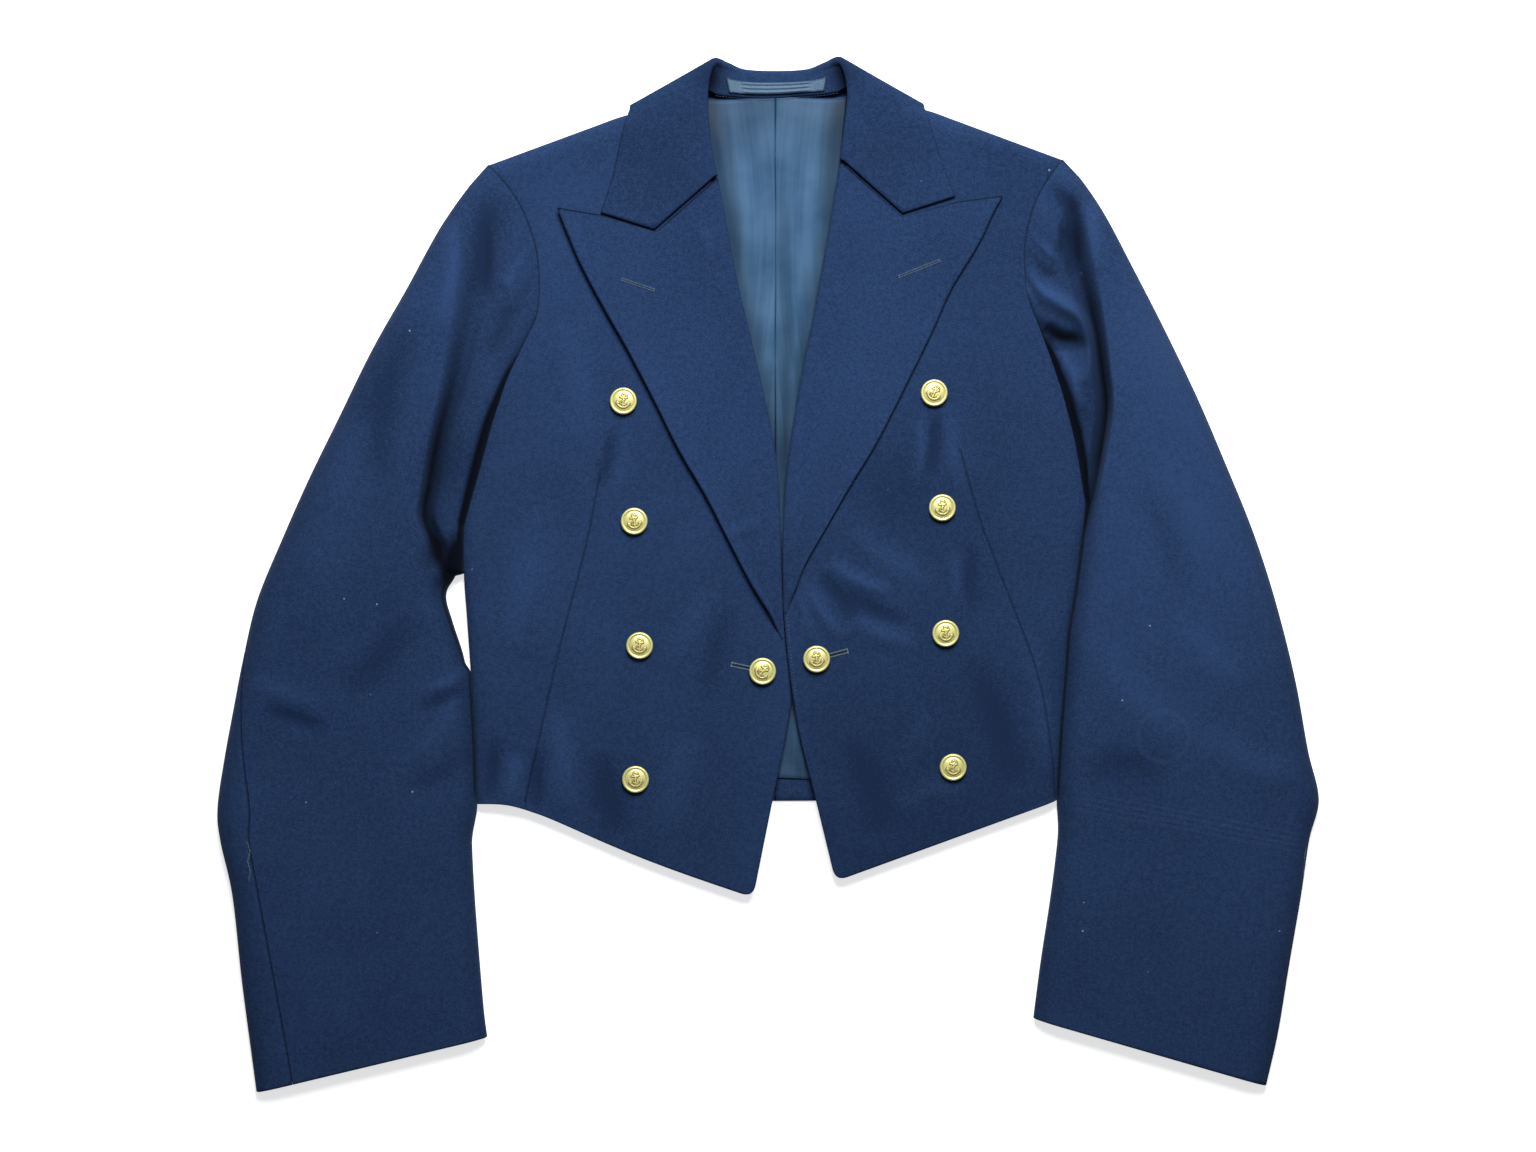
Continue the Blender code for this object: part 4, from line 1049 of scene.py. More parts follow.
def lapel_grid(side):
    """Outer face of a lapel from its return under the roll to its outer edge, gorge to break."""
    sign = SIGN[side]
    table = numbered(LAPEL_ROWS[side])
    rows = np.linspace(0.0, len(table) - 1.0, LAPEL_SECTIONS)
    roll_y, outer_x, outer_y = spline(table, rows).T
    roll = np.stack([edge_x(side, roll_y), roll_y], axis=1)
    edge = np.stack([outer_x, outer_y], axis=1)
    width = np.linalg.norm(edge - roll, axis=1)
    along = (edge - roll) / width[:, None]
    shares = refine(LAPEL_SHARES, LAPEL_COLUMN_FINENESS)
    fade = np.clip(1.0 - rows / LAPEL_BEND_ROWS, 0.0, 1.0) ** 2
    grid = []
    for i, reach in enumerate(width):
        radius = min(ROLL_RADIUS, ROLL_LEAST_SHARE * reach)
        share = shares * (1.0 - radius / reach) + radius / reach
        bend = straight(LAPEL_BEND, share) * fade[i] * np.array([-sign, 1.0])
        plan = roll[i] + along[i] * (share * reach)[:, None] + bend
        settled = ease((rows[-1] - rows[i]) / LAPEL_END_ROWS)
        rise = LAPEL_RISE * bell(share * reach - radius, LAPEL_RISE_REACH)
        at_edge = np.clip((share - LAPEL_EDGE_SHARE) / (1.0 - LAPEL_EDGE_SHARE), 0.0, 1.0)
        rise += LAPEL_EDGE_LIFT[side] * at_edge ** 2
        rise += SEAM + LAPEL_WALL - LAPEL_END_LIFT
        under = front_height(side, plan[:, 0], plan[:, 1])
        top = np.column_stack([plan, under + LAPEL_END_LIFT + rise * settled])
        centre = top[0] - np.array([0.0, 0.0, radius])
        out = np.array([-along[i][0], -along[i][1], 0.0]) * radius
        up = np.array([0.0, 0.0, radius])
        turn = np.linspace(-np.pi / 2, np.pi / 2, CURL_STEPS)[:-1, None]
        curl = centre + out * np.cos(turn) + up * np.sin(turn)
        tail = curl[0] - out * ROLL_RETURN / radius * np.array([[1.0], [0.5]])
        grid.append(np.vstack([tail, curl, top]))
    return np.array(grid)


def add_lapel(side):
    """Lapel, with shade along its top edge."""
    outer = lapel_grid(side)
    shade = np.zeros(outer.shape[:2])
    shade[:2] = LAPEL_TOP_SHADE
    # Painted light on the folds and painted shade in their hollows.
    tone = fold_shading(raised(FRONT_FOLDS[side], outer[..., 0], outer[..., 1]))
    marks = {"tone": tone, "shade": shade}
    add_cloth("lapel_" + side, outer, face_normals(outer, (60, -4)), LAPEL_WALL, WOOL, marks)


def collar_grid(row_count, stand_steps, arc_steps, shares):
    """Outer face of the collar: neck edge, stand, round fold, fall to the outer edge."""
    table = numbered(COLLAR_ROWS)
    last = len(table) - 1.0
    rows = np.linspace(0.0, last, row_count)
    share = np.asarray(shares)[1:, None]
    grid = []
    for row in rows:
        cx, cy, cz, radius, turn, nx, ny, nz, ex, ey, ez, falls = spline(table, row)
        before = max(row - COLLAR_ROW_STEP, 0.0)
        after = min(row + COLLAR_ROW_STEP, last)
        ahead = spline(table, after)[:2] - spline(table, before)[:2]
        ahead = ahead / np.hypot(*ahead)
        right = np.array([ahead[1], -ahead[0], 0.0])
        up = np.array([0.0, 0.0, 1.0])
        angle = np.radians(turn)
        tip = np.cos(angle) * right + np.sin(angle) * up
        base = np.sin(angle) * right - np.cos(angle) * up
        centre = np.array([cx, cy, cz])
        sweep = np.linspace(0.0, np.pi, arc_steps)[:, None]
        arc = centre + radius * (base * np.cos(sweep) + tip * np.sin(sweep))
        neck = np.array([nx, ny, nz])
        stand = neck + (arc[0] - neck) * np.linspace(0.0, 1.0, stand_steps)[:-1, None]
        fall = arc[-1] + (np.array([ex, ey, ez]) - arc[-1]) * share
        fall[:, 2] = ez + (arc[-1][2] - ez) * (1.0 - share[:, 0]) ** max(falls, 1.0)
        side = "left" if cx > CENTRE_X else "right"
        near_end = np.clip(1.0 - min(row, last - row) / COLLAR_BEND_ROWS, 0.0, 1.0) ** 2
        fall[:, :2] += straight(COLLAR_BEND, share[:, 0]) * near_end * np.array([-SIGN[side], 1.0])
        if falls < COLLAR_LEAF_FALL:
            inside = ease(shoulder_distance(side, fall[:, 0], fall[:, 1]) / COLLAR_LEAF_RUN)
            clear = front_height(side, fall[:, 0], fall[:, 1]) + 2 * SEAM + COLLAR_WALL
            fall[:, 2] += inside * (np.maximum(clear - fall[:, 2], 0.0) + COLLAR_EDGE_LIFT * share[:, 0] ** 3)
        section = np.vstack([stand, arc, fall])
        section[:, 2] = np.maximum(section[:, 2], 0.0)
        grid.append(section)
    return np.array(grid)


def add_collar():
    """Collar, with shade inside the neck."""
    shares = refine(COLLAR_SHARES, COLLAR_COLUMN_FINENESS)
    outer = collar_grid(COLLAR_SECTIONS, STAND_STEPS, COLLAR_FOLD_STEPS, shares)
    shade = raised(NECK_HOLLOWS, outer[..., 0], outer[..., 1])
    shade[:, NECK_COLUMNS:] = 0.0
    normal = face_normals(outer, (8, -4))
    add_cloth("collar", outer, normal, COLLAR_WALL, WOOL, {"shade": shade})


def add_hanger_loop():
    """Ribbon loop on the stand of the collar, with cords along it between its flat ends."""
    stand = collar_grid(LOOP_SECTIONS, 3, 6, COLLAR_SHARES)[:, :3]
    first, final = np.array(LOOP_ROWS) * (LOOP_SECTIONS - 1) / (len(COLLAR_ROWS) - 1)
    table = numbered(stand.reshape(LOOP_SECTIONS, -1))
    picked = straight(table, np.linspace(first, final, LOOP_RINGS)).reshape(LOOP_RINGS, 3, 3)
    lines = np.linspace(1.0 - LOOP_BAND[1], 1.0 - LOOP_BAND[0], LOOP_LINES)
    along = np.linspace(0.0, 1.0, 3)
    face = np.array([straight(np.column_stack([along, line]), lines) for line in picked])
    normal = face_normals(face, (30, 15))
    passed = np.linspace(0.0, 1.0, LOOP_RINGS)[:, None]
    start, end = LOOP_RAMPS
    middle = ramp(passed, *start) * ramp(passed, *end)
    cords = 0.5 - 0.5 * np.cos(2 * np.pi * LOOP_CORDS * np.linspace(0.0, 1.0, LOOP_LINES))[None, :]
    lift = SEAM + LOOP_WALL + middle * (LOOP_CORD_BASE + LOOP_CORD_HEIGHT * cords)
    outer = face + normal * lift[..., None]
    add_cloth("hanger_loop", outer, face_normals(outer, (30, 15)), LOOP_WALL, RIBBON)


def nestle(side, x, y):
    """How far a sleeve's inner edge moves in to lie against the body where it is close by."""
    sides = np.array(FRONT_ROWS[side])[::-1, 1:3]
    gap = SIGN[side] * (x - np.interp(y, sides[:, 1], sides[:, 0]))
    start, end = APART_RAMPS
    apart = APART[side] * ramp(y, *start) * ramp(y, *end)
    near = ease((NESTLE_REACH - apart - gap) / NESTLE_RUN)
    near *= ramp(y, sides[0, 1] - NESTLE_HEM_RUN, NESTLE_HEM_RUN)
    return -SIGN[side] * max(gap - SIDE_GAP, 0.0) * near


def sleeve_ring(side, row, place):
    """Outer face of a sleeve: place 0 to 1 crosses the top from the outer edge, 1 to 2 the underside."""
    table = numbered(SLEEVE_ROWS[side])
    ox, oy, ix, iy, crown, _seam = spline(table, row)
    start = np.array([ox, oy])
    end = np.array([ix + nestle(side, ix, iy), iy])
    place = np.mod(np.asarray(place, dtype=float), 2.0)
    top = place <= 1.0
    share = np.where(top, place, 2.0 - place)
    width = np.linalg.norm(end - start)
    plan = start + (end - start) * share[:, None]
    first = table[0, 1:]
    armhole = side_row(side, share * ARMHOLE_ROWS[side])[:, 1:3]
    off = np.gradient(side_row(side, np.linspace(0, ARMHOLE_ROWS[side], 21))[:, 1:3], axis=0)
    off = straight(np.column_stack([np.linspace(0, 1, 21), off]), share)
    off = np.column_stack([-off[:, 1], off[:, 0]]) * SIGN[side]
    armhole = armhole + off / np.linalg.norm(off, axis=1, keepdims=True) * ARMHOLE_GAP
    chord = first[:2] + (first[2:4] - first[:2]) * share[:, None]
    plan = plan + (armhole - chord) * np.clip(1.0 - row / ARMHOLE_BLEND_ROWS, 0.0, 1.0) ** 2
    from_outer = share * width
    from_inner = (1.0 - share) * width
    ridge = np.asarray(SLEEVE_RIDGE[side], dtype=float)
    ridge_x, deep, reach = spline(ridge, np.clip(plan[:, 1], ridge[0, 0], ridge[-1, 0])).T
    beside = SIGN[side] * (ridge_x - plan[:, 0])
    fall = ease((beside + RIDGE_LEAD * reach) / reach)
    drop = deep * (fall - STRIP_RISE * ease((beside - reach) / STRIP_REACH))
    bend = min(SLEEVE_TURN, (crown - SLEEVE_EDGE_Z) ** 2 / SLEEVE_BEND)
    dome = rounded(from_outer, bend) * rounded(from_inner, bend)
    folds = raised(SLEEVE_FOLDS[side], plan[:, 0], plan[:, 1])
    crown = np.maximum(crown - drop, SLEEVE_LEAST_CROWN) + folds
    floor = rounded(from_outer, SLEEVE_FLOOR_TURN) * rounded(from_inner, SLEEVE_FLOOR_TURN)
    height = np.where(top, SLEEVE_EDGE_Z + (crown - SLEEVE_EDGE_Z) * dome, SLEEVE_EDGE_Z * (1.0 - floor))
    past = np.maximum(beside - 0.5 * reach, 0.0)
    shade = fall * sum(amount * bell(past, length) for amount, length in RIDGE_SHADES)
    shade *= np.minimum(deep / RIDGE_FULL_DROP, 1.0)
    shade += np.maximum(raised(SLEEVE_HOLLOWS[side], plan[:, 0], plan[:, 1]), 0.0)
    rolls_over = bell(from_inner, EDGE_SHADE_REACH) + bell(from_outer, EDGE_SHADE_REACH)
    shade += EDGE_SHADE * rolls_over * ease(row / EDGE_SHADE_ROWS)
    beside_body = ramp(plan[:, 1], BACK_HEM_Y, CREVICE_HEM_RUN) * ease(row / CREVICE_ROWS)
    gap = straight(CREVICE[side], plan[:, 1])[:, 0]
    shade += ease((CREVICE_REACH * gap - from_inner) / (CREVICE_FADE * gap)) * beside_body
    shown = np.column_stack([np.clip(shade, 0.0, 1.0), folds]) * top[:, None]
    return np.column_stack([plan, height, shown])


# Columns over half of a topsleeve, its steps round the inner edge, and the undersleeve's over the outer edge.
TOP_HALF = 46
UNDER_STEPS = [0.06, 0.14, 0.25, 0.4, 0.6, 0.8, 1.0]
OVER_STEPS = [0.06, 0.15, 0.3, 0.45, 0.6, 0.8, 1.0]
# Columns on the undersleeve's flat, round its turn, and its clearance from the fore seam in gaps.
FLAT_COLUMNS = 18
TURN_COLUMNS = 9
FORE_CLEARANCE = 5


def sleeve_places(side, row, piece):
    """Places round the ring that one sleeve piece takes, from seam to seam, close where it turns."""
    table = numbered(SLEEVE_ROWS[side])
    ox, oy, ix, iy, _crown, seam = spline(table, row)
    width = np.hypot(ix - ox, iy - oy)
    gap = HIND_GAP / width
    hind = max(seam, 1.0) / width
    fore = FORE_SEAM / width
    half = np.linspace(0.0, 1.0, TOP_HALF)
    if piece == "topsleeve":
        near = hind + gap / 2
        rising = near + (0.5 - near) * (0.5 * half + 0.5 * (1.0 - np.cos(half * np.pi / 2)))
        falling = 0.5 + 0.5 * (0.5 * half[1:] + 0.5 * np.sin(half[1:] * np.pi / 2))
        under = 1.0 + (fore + gap) * np.array(UNDER_STEPS)
        return np.concatenate([rising, falling, under])
    turn = SLEEVE_FLOOR_TURN / width
    floor = np.linspace(1.0 + fore - FORE_CLEARANCE * gap, 2.0 - turn, FLAT_COLUMNS)
    edge = 2.0 - turn_steps(turn, TURN_COLUMNS)[-2::-1]
    over = 2.0 + (hind - gap / 2) * np.array(OVER_STEPS)
    return np.concatenate([floor, edge, over])


def lace_traces(outer):
    """Marks for the faint rows and ring that lace has left on the cuff: distances, and where they show."""
    x = outer[..., 0]
    y = outer[..., 1]
    away, share = along_line(LACE_LINE, x, y)
    ring = np.hypot(x - LACE_RING[0], y - LACE_RING[1]) - LACE_RING[2]
    shown = ease(share / LACE_FADE) * ease((1.0 - share) / LACE_FADE) * (outer[..., 2] > SLEEVE_EDGE_Z)
    away = np.clip(away, -LACE_ROW_LIMIT, LACE_ROW_LIMIT)
    ring = np.clip(ring, -LACE_RING_LIMIT, LACE_RING_LIMIT)
    return {"lace_row": away, "lace_ring": ring, "laced": shown}


# Rows of a sleeve that are made: close together above the elbow, wider below it.
ELBOW_ROW = 8.5
CUFF_ROW = 17.0
SLEEVE_STEPS = np.concatenate([np.linspace(1.0, ELBOW_ROW, 190), np.linspace(ELBOW_ROW, CUFF_ROW, 100)[1:]])
HEAD_PARTS = np.linspace(0.0, 1.0, 8)[:-1]


def add_sleeve(side, piece):
    """Topsleeve or undersleeve, with straight cloth at its head and the traces of lace on the left cuff."""
    head, below = (sleeve_ring(side, row, sleeve_places(side, row, piece)) for row in (0.0, 1.0))
    rings = [head + (below - head) * part for part in HEAD_PARTS]
    for row in SLEEVE_STEPS:
        rings.append(sleeve_ring(side, row, sleeve_places(side, row, piece)))
    rings = np.array(rings)
    outer = rings[..., :3]
    normal = face_normals(outer, (80, 40 if piece == "topsleeve" else 8))
    normal[0] = normal[1]
    normal[-1] = normal[-2]
    if piece == "undersleeve":
        normal = -normal
    # Painted shade from the shade mark, and painted light and shade on the folds.
    marks = {"shade": rings[..., 3], "tone": fold_shading(rings[..., 4])}
    if side == "left" and piece == "topsleeve":
        marks.update(lace_traces(outer))
    add_cloth(piece + "_" + side, outer, normal, SLEEVE_WALL, WOOL, marks)


BUTTON_ROUND = 72
# Turned profiles of a button's back and face: radius, height.
BUTTON_BACK = [(3.0, 0.0), (3.0, 1.3), (6.0, 1.4), (9.4, 1.6)]
BUTTON_FACE = [(0.0, 4.15), (2.5, 4.05), (4.5, 3.8), (6.4, 3.4), (7.2, 3.1), (7.6, 2.85), (7.9, 2.95),
               (8.3, 3.35), (8.8, 3.5), (9.3, 3.42), (9.75, 3.0), (10.0, 2.4)]
FIELD_RADIUS = 7.6
# Radii of the rings that are made, over the field and over the rim.
BUTTON_RINGS = np.concatenate([np.linspace(0.22, FIELD_RADIUS, 38), np.linspace(7.75, 10.0, 12)])
ANCHOR_RELIEF = 0.62
# Strokes of the anchor: line of (x, y), half width.
ANCHOR_STROKES = [
    ([(0.0, 3.3), (0.0, -4.6)], 0.55),
    ([(-2.5, 2.5), (2.5, 2.5)], 0.45),
    ([(-4.3, -1.6), (-3.7, -3.1), (-2.2, -4.4), (0.0, -5.0), (2.2, -4.4), (3.7, -3.1), (4.3, -1.6)], 0.60),
    ([(-5.0, -2.4), (-4.4, -0.9), (-3.2, -2.0)], 0.40),
    ([(5.0, -2.4), (4.4, -0.9), (3.2, -2.0)], 0.40),
    ([(0.6, 5.2), (2.2, 4.2), (1.2, 1.2), (-1.4, -0.4), (-1.6, -2.2), (1.4, -3.0)], 0.28),
]
# Ring of the anchor: y, radius, half width.
ANCHOR_RING = (4.4, 1.0, 0.40)
STROKE_SOFTNESS = 0.2
RING_SOFTNESS = 0.15
# Painted shade beside the strokes and at the rim of the field: distance, reach; and how dark it is at the
# rim.
HOLLOW_AWAY = 0.25
HOLLOW_REACH = 0.45
RIM_REACH = 0.35
RIM_DARK = 0.6


def button_relief(x, y):
    """Height of the anchor on a button's field, and how dark the painted shade in the hollow beside it lies.
    """
    ring_y, ring_radius, ring_half = ANCHOR_RING
    strokes = [(np.hypot(x, y - ring_y) - ring_radius, ring_half, RING_SOFTNESS)]
    for line, half in ANCHOR_STROKES:
        away, _share = along_line(smooth_line(line, 16), x, y)
        strokes.append((away, half, STROKE_SOFTNESS))
    height = np.zeros(np.shape(x))
    for away, half, soft in strokes:
        height = np.maximum(height, np.sqrt(np.maximum(1.0 - (away / (half + soft)) ** 2, 0.0)))
    beside = np.minimum.reduce([np.abs(away) - half for away, half, _soft in strokes])
    rim = RIM_DARK * bell(np.hypot(x, y) - FIELD_RADIUS, RIM_REACH)
    return height, np.maximum(bell(beside - HOLLOW_AWAY, HOLLOW_REACH), rim)


def add_button(node, side, x, y, degrees):
    """Gilt button on a front: rings from the middle of the face to the back, closed by two fans."""
    around = np.linspace(0.0, 2 * np.pi, BUTTON_ROUND, endpoint=False)
    ring = np.stack([np.cos(around), np.sin(around)], axis=1)
    across, along = np.moveaxis(BUTTON_RINGS[:, None, None] * ring, 2, 0)
    relief, hollow = button_relief(across, along)
    rise = straight(BUTTON_FACE, BUTTON_RINGS)[:, :1] + ANCHOR_RELIEF * relief
    back = [np.column_stack([ring * radius, np.full(BUTTON_ROUND, z)]) for radius, z in BUTTON_BACK[::-1]]
    poles = [(0.0, 0.0, rise[0].mean()), (0.0, 0.0, 0.0)]
    points = np.concatenate([np.stack([across, along, rise], axis=2).reshape(-1, 3), *back, poles])
    first = np.arange(BUTTON_ROUND)
    ahead = np.roll(first, -1)
    top = len(points) - len(poles)
    last = top - BUTTON_ROUND
    faces = []
    for low in range(0, last, BUTTON_ROUND):
        high = low + BUTTON_ROUND
        faces.append(np.column_stack([low + first, low + ahead, high + ahead, high + first]))
    pole = np.full(BUTTON_ROUND, top)
    faces.append(np.column_stack([ahead, first, pole, pole]))
    faces.append(np.column_stack([last + first, last + ahead, pole + 1, pole + 1]))
    cosine = np.cos(np.radians(degrees))
    sine = np.sin(np.radians(degrees))
    spun = np.column_stack([points[:, 0] * cosine - points[:, 1] * sine,
                            points[:, 0] * sine + points[:, 1] * cosine, points[:, 2]])
    base = front_height(side, x, y) + SEAM
    piece = add_mesh(node + "_gilt", spun + np.array([x, y, base]), np.concatenate(faces), GILT)
    # The hollow mark is painted shade beside the anchor and at the rim of the field.
    add_mark(piece, "hollow", np.concatenate([hollow.ravel(), np.zeros(len(points) - hollow.size)]))
    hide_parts(node)


for wearer_side in ("left", "right"):
    add_back(wearer_side)
    add_lining(wearer_side)
    add_front(wearer_side)
    add_lapel(wearer_side)
    add_sleeve(wearer_side, "topsleeve")
    add_sleeve(wearer_side, "undersleeve")
    for number, (button_x, button_y) in enumerate(BUTTONS[wearer_side], start=1):
        label = "button_" + wearer_side + "_" + str(number) if number < 5 else "link_button_" + wearer_side
        add_button(label, wearer_side, button_x, button_y, BUTTON_TURNS[wearer_side][number - 1])
add_collar()
add_hanger_loop()


# Ends (x, y) of the worked buttonholes.
LAPEL_BUTTONHOLES = {"right": [(-108, 219), (-84, 211)], "left": [(97, 221), (127, 233)]}
FRONT_BUTTONHOLES = {"right": [(-27, -66), (-6, -70.5)], "left": [(59, -56), (38, -61.5)]}
# Frayed places at the edges of the sleeves: line of (x, y), length of the loose ends.
FRAYS = {
    "right": ([(-384, -197), (-382, -204), (-384, -211), (-382, -218), (-383, -225)], 1.9),
    "left": ([(398.5, -202), (397, -208), (398, -214), (396.5, -222)], 1.7),
}
PRICK_Y = (-24.0, -96.0)
PRICK_INSET = 2.8
PRICK_LIFT = 0.1
NECK_STITCH_ROWS = np.s_[4:11]
NECK_STITCH_OFF = np.array([0.0, -0.7, 0.3])
LOOP_STITCH_ROWS = (2, 8, 52, 58)
LOOP_STITCH_LIFT = np.array([0.0, 0.0, 0.15])
FRAY_LIFT = 0.3
STITCH_INPUTS = ["Spacing", "Length", "Thickness", "Turn", "Waver"]
STITCH_SEED = 7


def stitch_tree():
    """Node tree that lays one thread stitch after another along the edges of a mesh."""
    tree = bpy.data.node_groups.new("sewn_stitches", "GeometryNodeTree")
    tree.interface.new_socket("Path", in_out="INPUT", socket_type="NodeSocketGeometry")
    for name in STITCH_INPUTS:
        tree.interface.new_socket(name, in_out="INPUT", socket_type="NodeSocketFloat")
    tree.interface.new_socket("Thread", in_out="INPUT", socket_type="NodeSocketMaterial")
    tree.interface.new_socket("Stitches", in_out="OUTPUT", socket_type="NodeSocketGeometry")

    def node(kind, settings=None, inputs=None):
        made = tree.nodes.new(kind)
        for key, value in (settings or {}).items():
            setattr(made, key, value)
        for key, value in (inputs or {}).items():
            if isinstance(value, bpy.types.NodeSocket):
                tree.links.new(value, made.inputs[key])
            else:
                made.inputs[key].default_value = value
        return made

    def maths(operation, first, second):
        return node("ShaderNodeMath", {"operation": operation}, {0: first, 1: second}).outputs[0]

    given = node("NodeGroupInput").outputs
    path = node("GeometryNodeMeshToCurve", inputs={"Mesh": given["Path"]}).outputs["Curve"]
    spaced = node("GeometryNodeResampleCurve", {"mode": "LENGTH"},
                  {"Curve": path, "Length": given["Spacing"]}).outputs[0]
    tangent = node("GeometryNodeInputTangent").outputs["Tangent"]
    facing = node("FunctionNodeAlignRotationToVector", {"axis": "X", "pivot_axis": "Z"},
                  {"Vector": tangent}).outputs[0]
    least = maths("MULTIPLY", given["Waver"], -1.0)
    chance = node("FunctionNodeRandomValue", {"data_type": "FLOAT"},
                  {2: least, 3: given["Waver"], "Seed": STITCH_SEED}).outputs[1]
    angle = maths("ADD", given["Turn"], chance)
    spin = node("FunctionNodeAxisAngleToRotation",
                inputs={"Axis": (0.0, 0.0, 1.0), "Angle": angle}).outputs[0]
    turned_by = node("FunctionNodeRotateRotation", {"rotation_space": "LOCAL"},
                     {0: facing, 1: spin}).outputs[0]
    bead = node("GeometryNodeMeshUVSphere", inputs={"Segments": 8, "Rings": 6, "Radius": 0.5}).outputs["Mesh"]
    size = node("ShaderNodeCombineXYZ",
                inputs={0: given["Length"], 1: given["Thickness"], 2: given["Thickness"]}).outputs[0]
    stitch = node("GeometryNodeTransform", inputs={"Geometry": bead, "Scale": size}).outputs[0]
    placed = node("GeometryNodeInstanceOnPoints",
                  inputs={"Points": spaced, "Instance": stitch, "Rotation": turned_by}).outputs[0]
    real = node("GeometryNodeRealizeInstances", inputs={0: placed}).outputs[0]
    smooth = node("GeometryNodeSetShadeSmooth", inputs={0: real}).outputs[0]
    dyed = node("GeometryNodeSetMaterial",
                inputs={"Geometry": smooth, "Material": given["Thread"]}).outputs[0]
    node("NodeGroupOutput", inputs={"Stitches": dyed})
    return tree


STITCHES = stitch_tree()


def sew(name, lines, thread, spacing, length, thickness, turn=0.0, waver=0.1):
    """Stitches along lines of (x, y, z), sizes in millimetres, as one plain mesh that rides on the jacket."""
    points = np.concatenate([np.asarray(line, dtype=float) for line in lines])
    starts = np.cumsum([0] + [len(line) for line in lines])
    edges = [(i, i + 1) for first, last in zip(starts[:-1], starts[1:]) for i in range(first, last - 1)]
    route = bpy.data.meshes.new(name + "_route")
    route.from_pydata(in_frame(points).tolist(), edges, [])
    piece = add_object(name, route)
    modifier = piece.modifiers.new("stitches", "NODES")
    modifier.node_group = STITCHES
    values = {"Spacing": spacing * MM, "Length": length * MM, "Thickness": thickness * MM,
              "Turn": turn, "Waver": waver, "Thread": thread}
    for socket in STITCHES.interface.items_tree:
        if socket.item_type == "SOCKET" and socket.in_out == "INPUT" and socket.name in values:
            modifier[socket.identifier] = values[socket.name]
    made = piece.evaluated_get(bpy.context.evaluated_depsgraph_get())
    mesh = bpy.data.meshes.new_from_object(made)
    piece.modifiers.remove(modifier)
    piece.data = mesh
    mesh.name = name
    bpy.data.meshes.remove(route)
    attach(piece, "root")


# Points of a face that a stitch's height is taken from, and the least square distance that counts.
NEAR_SPOTS = 4
NEAR_LEAST = 0.01


def on_face(node, line, lift, columns=np.s_[:]):
    """Points of a line of (x, y) laid on the outer face of a cloth piece."""
    spots = laid_faces[node][:, columns].reshape(-1, 3)
    placed = []
    for x, y in line:
        away = (spots[:, 0] - x) ** 2 + (spots[:, 1] - y) ** 2
        near = np.argsort(away)[:NEAR_SPOTS]
        weight = 1.0 / (away[near] + NEAR_LEAST)
        placed.append((x, y, (spots[near, 2] * weight).sum() / weight.sum() + lift))
    return np.array(placed)


BAR_REACH = 1.4
BUTTONHOLE_LIFT = 0.25
SLIT_LIFT = 0.08


def add_buttonhole(name, node, ends, gap, thread):
    """Worked buttonhole: a slit of painted shade between two rows of thread with a bar across each end."""
    first, last = np.asarray(ends, dtype=float)
    along = (last - first) / np.linalg.norm(last - first)
    off = np.array([-along[1], along[0]]) * gap / 2
    shares = np.linspace(0.0, 1.0, 12)[:, None]
    middle = first + (last - first) * shares
    bar = BAR_REACH * off
    rows = [middle + off, middle - off] + [[end - bar, end, end + bar] for end in (first, last)]
    rows = [on_face(node, row, BUTTONHOLE_LIFT) for row in rows]
    sew(name + "_rows", rows, thread, spacing=0.5, length=1.25, thickness=0.42, turn=math.pi / 2, waver=0.18)
    # The slit is a row of near-black beads of painted shade.
    slit = on_face(node, middle, SLIT_LIFT)
    sew(name + "_slit", [slit], SLIT_SHADOW, spacing=0.8, length=1.7, thickness=0.55)


def add_sewing():
    """Buttonholes, prick stitches, neck seam, loop ends and the two frayed places."""
    for side in ("left", "right"):
        add_buttonhole("lapel_buttonhole_" + side, "lapel_" + side, LAPEL_BUTTONHOLES[side], 1.5, TEAL_THREAD)
        add_buttonhole("front_buttonhole_" + side, "front_" + side, FRONT_BUTTONHOLES[side], 2.6, GREY_THREAD)
    down = np.linspace(*PRICK_Y, 40)
    prick = on_face("front_left", np.column_stack([edge_x("left", down) + PRICK_INSET, down]), PRICK_LIFT)
    sew("prick_stitches", [prick], GREY_THREAD, spacing=2.6, length=0.8, thickness=0.34)
    neck = np.array(COLLAR_ROWS)[NECK_STITCH_ROWS, 5:8] + NECK_STITCH_OFF
    sew("neck_stitches", [smooth_line(neck, 60)], NAVY_THREAD, spacing=2.3, length=1.6, thickness=0.45)
    loop = laid_faces["hanger_loop"]
    ends = [loop[row, 1:-1] + LOOP_STITCH_LIFT for row in LOOP_STITCH_ROWS]
    sew("loop_stitches", ends, GREY_THREAD, spacing=1.3, length=0.9, thickness=0.35)
    for side, (line, length) in FRAYS.items():
        fray = on_face("topsleeve_" + side, line, FRAY_LIFT, np.s_[:2 * TOP_HALF - 2])
        sew("fraying_" + side, [fray], GREY_THREAD, 0.9, length, thickness=0.26, turn=0.8, waver=1.3)


add_sewing()


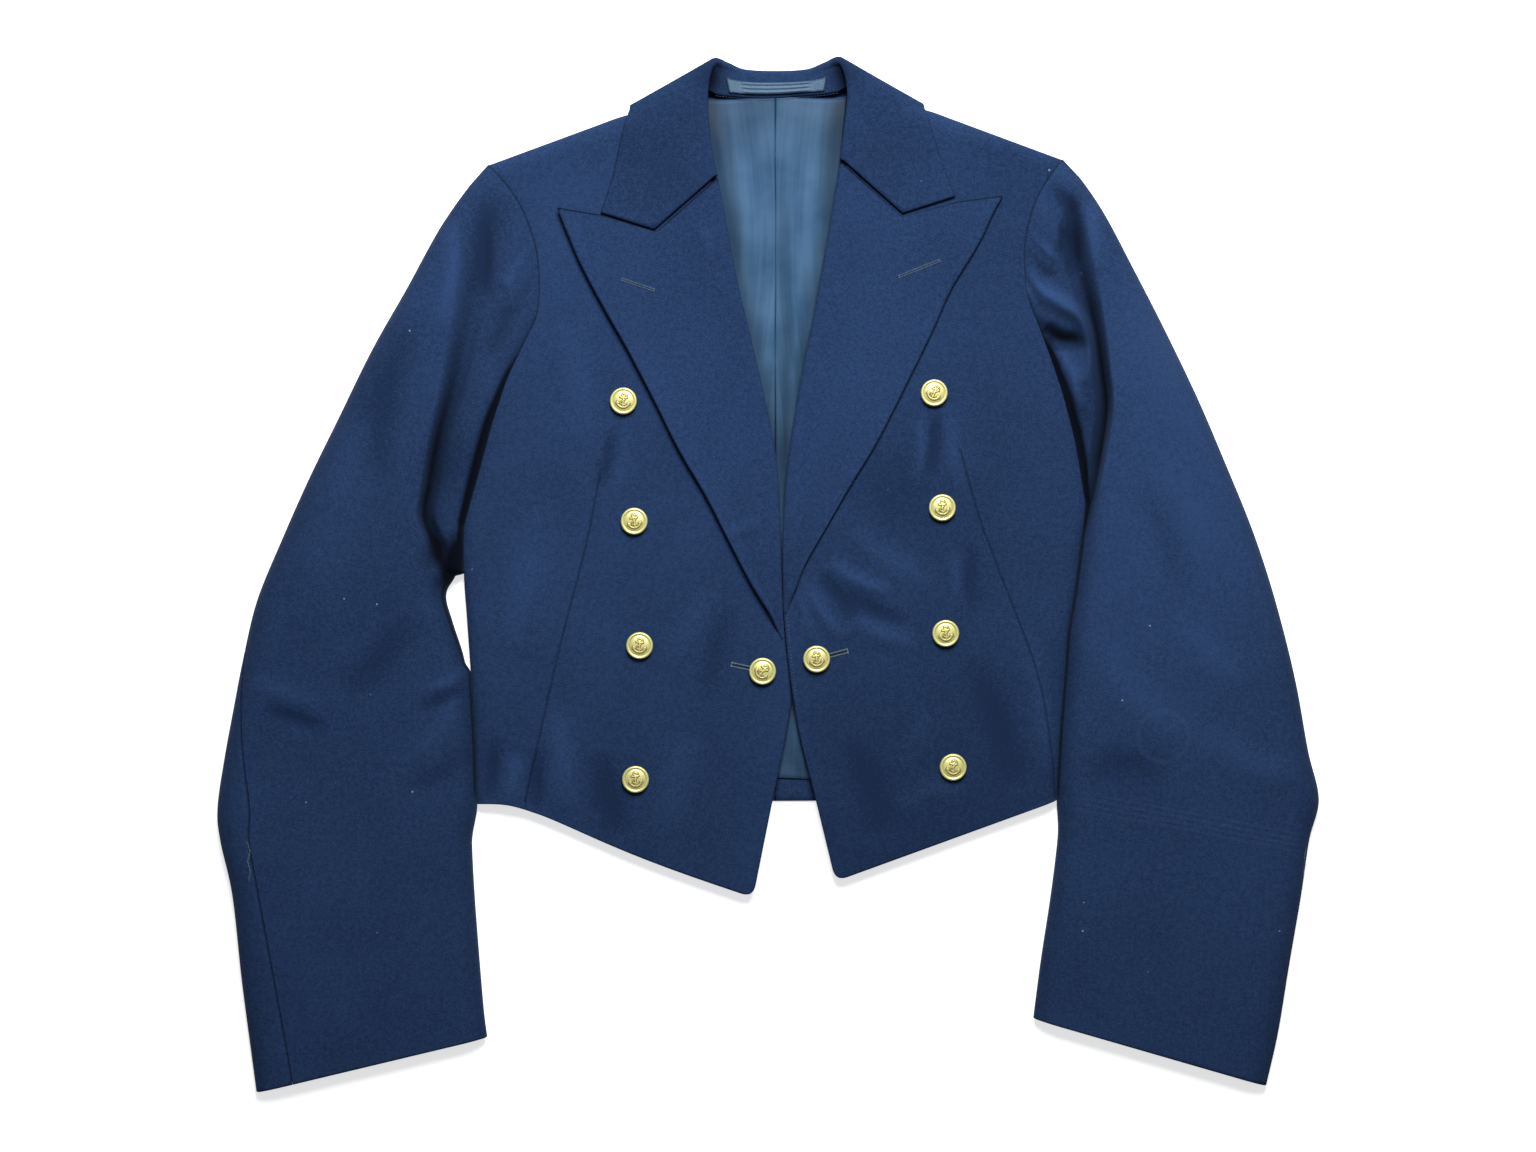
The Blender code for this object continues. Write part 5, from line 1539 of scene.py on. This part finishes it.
FLOOR_HALF = 12.0
FLOOR_Z = -0.0004
FLOOR_TONE = (0.75, 0.75, 0.75, 1.0)
FLOOR_GLOW = (1.0, 1.0, 1.0, 1.0)
FLOOR_GLOW_STRENGTH = 0.65


def add_floor():
    """Plain pale floor just under the jacket."""
    mesh = bpy.data.meshes.new("floor")
    corners = [(x * FLOOR_HALF, y * FLOOR_HALF, FLOOR_Z) for x, y in ((-1, -1), (1, -1), (1, 1), (-1, 1))]
    mesh.from_pydata(corners, [], [(0, 1, 2, 3)])
    material, _make, shader = new_finish("floor_paper", 0.9)
    shader.inputs["Base Color"].default_value = FLOOR_TONE
    shader.inputs["Emission Color"].default_value = FLOOR_GLOW
    shader.inputs["Emission Strength"].default_value = FLOOR_GLOW_STRENGTH
    mesh.materials.append(material)
    add_object("floor", mesh)


def add_light(name, place, size, power):
    """Square soft light that points at the middle of the jacket."""
    lamp = bpy.data.lights.new(name, "AREA")
    lamp.size = size
    lamp.energy = power
    holder = add_object(name, lamp)
    holder.location = place
    away = holder.location.normalized()
    holder.rotation_euler = away.to_track_quat("Z", "Y").to_euler()


CAMERA_HEIGHT = 1.9
PHOTO_WIDTH = 1.144
SENSOR_WIDTH = 36.0
WINDOW_PLACE = (0.12, 1.1, 1.25)
WINDOW_SIZE = 0.75
WINDOW_POWER = 46.0
ROOM_COLOUR = (0.93, 0.96, 1.0, 1.0)
ROOM_STRENGTH = 0.15

add_floor()
add_light("window_light", WINDOW_PLACE, WINDOW_SIZE, WINDOW_POWER)
world = bpy.data.worlds.new("soft_room")
world.use_nodes = True
background = world.node_tree.nodes["Background"]
background.inputs["Color"].default_value = ROOM_COLOUR
background.inputs["Strength"].default_value = ROOM_STRENGTH
bpy.context.scene.world = world
lens = bpy.data.cameras.new("camera")
lens.sensor_width = SENSOR_WIDTH
lens.lens = SENSOR_WIDTH * CAMERA_HEIGHT / PHOTO_WIDTH
camera = add_object("camera", lens)
camera.location = (0.0, 0.0, CAMERA_HEIGHT)
bpy.context.scene.camera = camera
bpy.context.scene.view_settings.view_transform = "Standard"
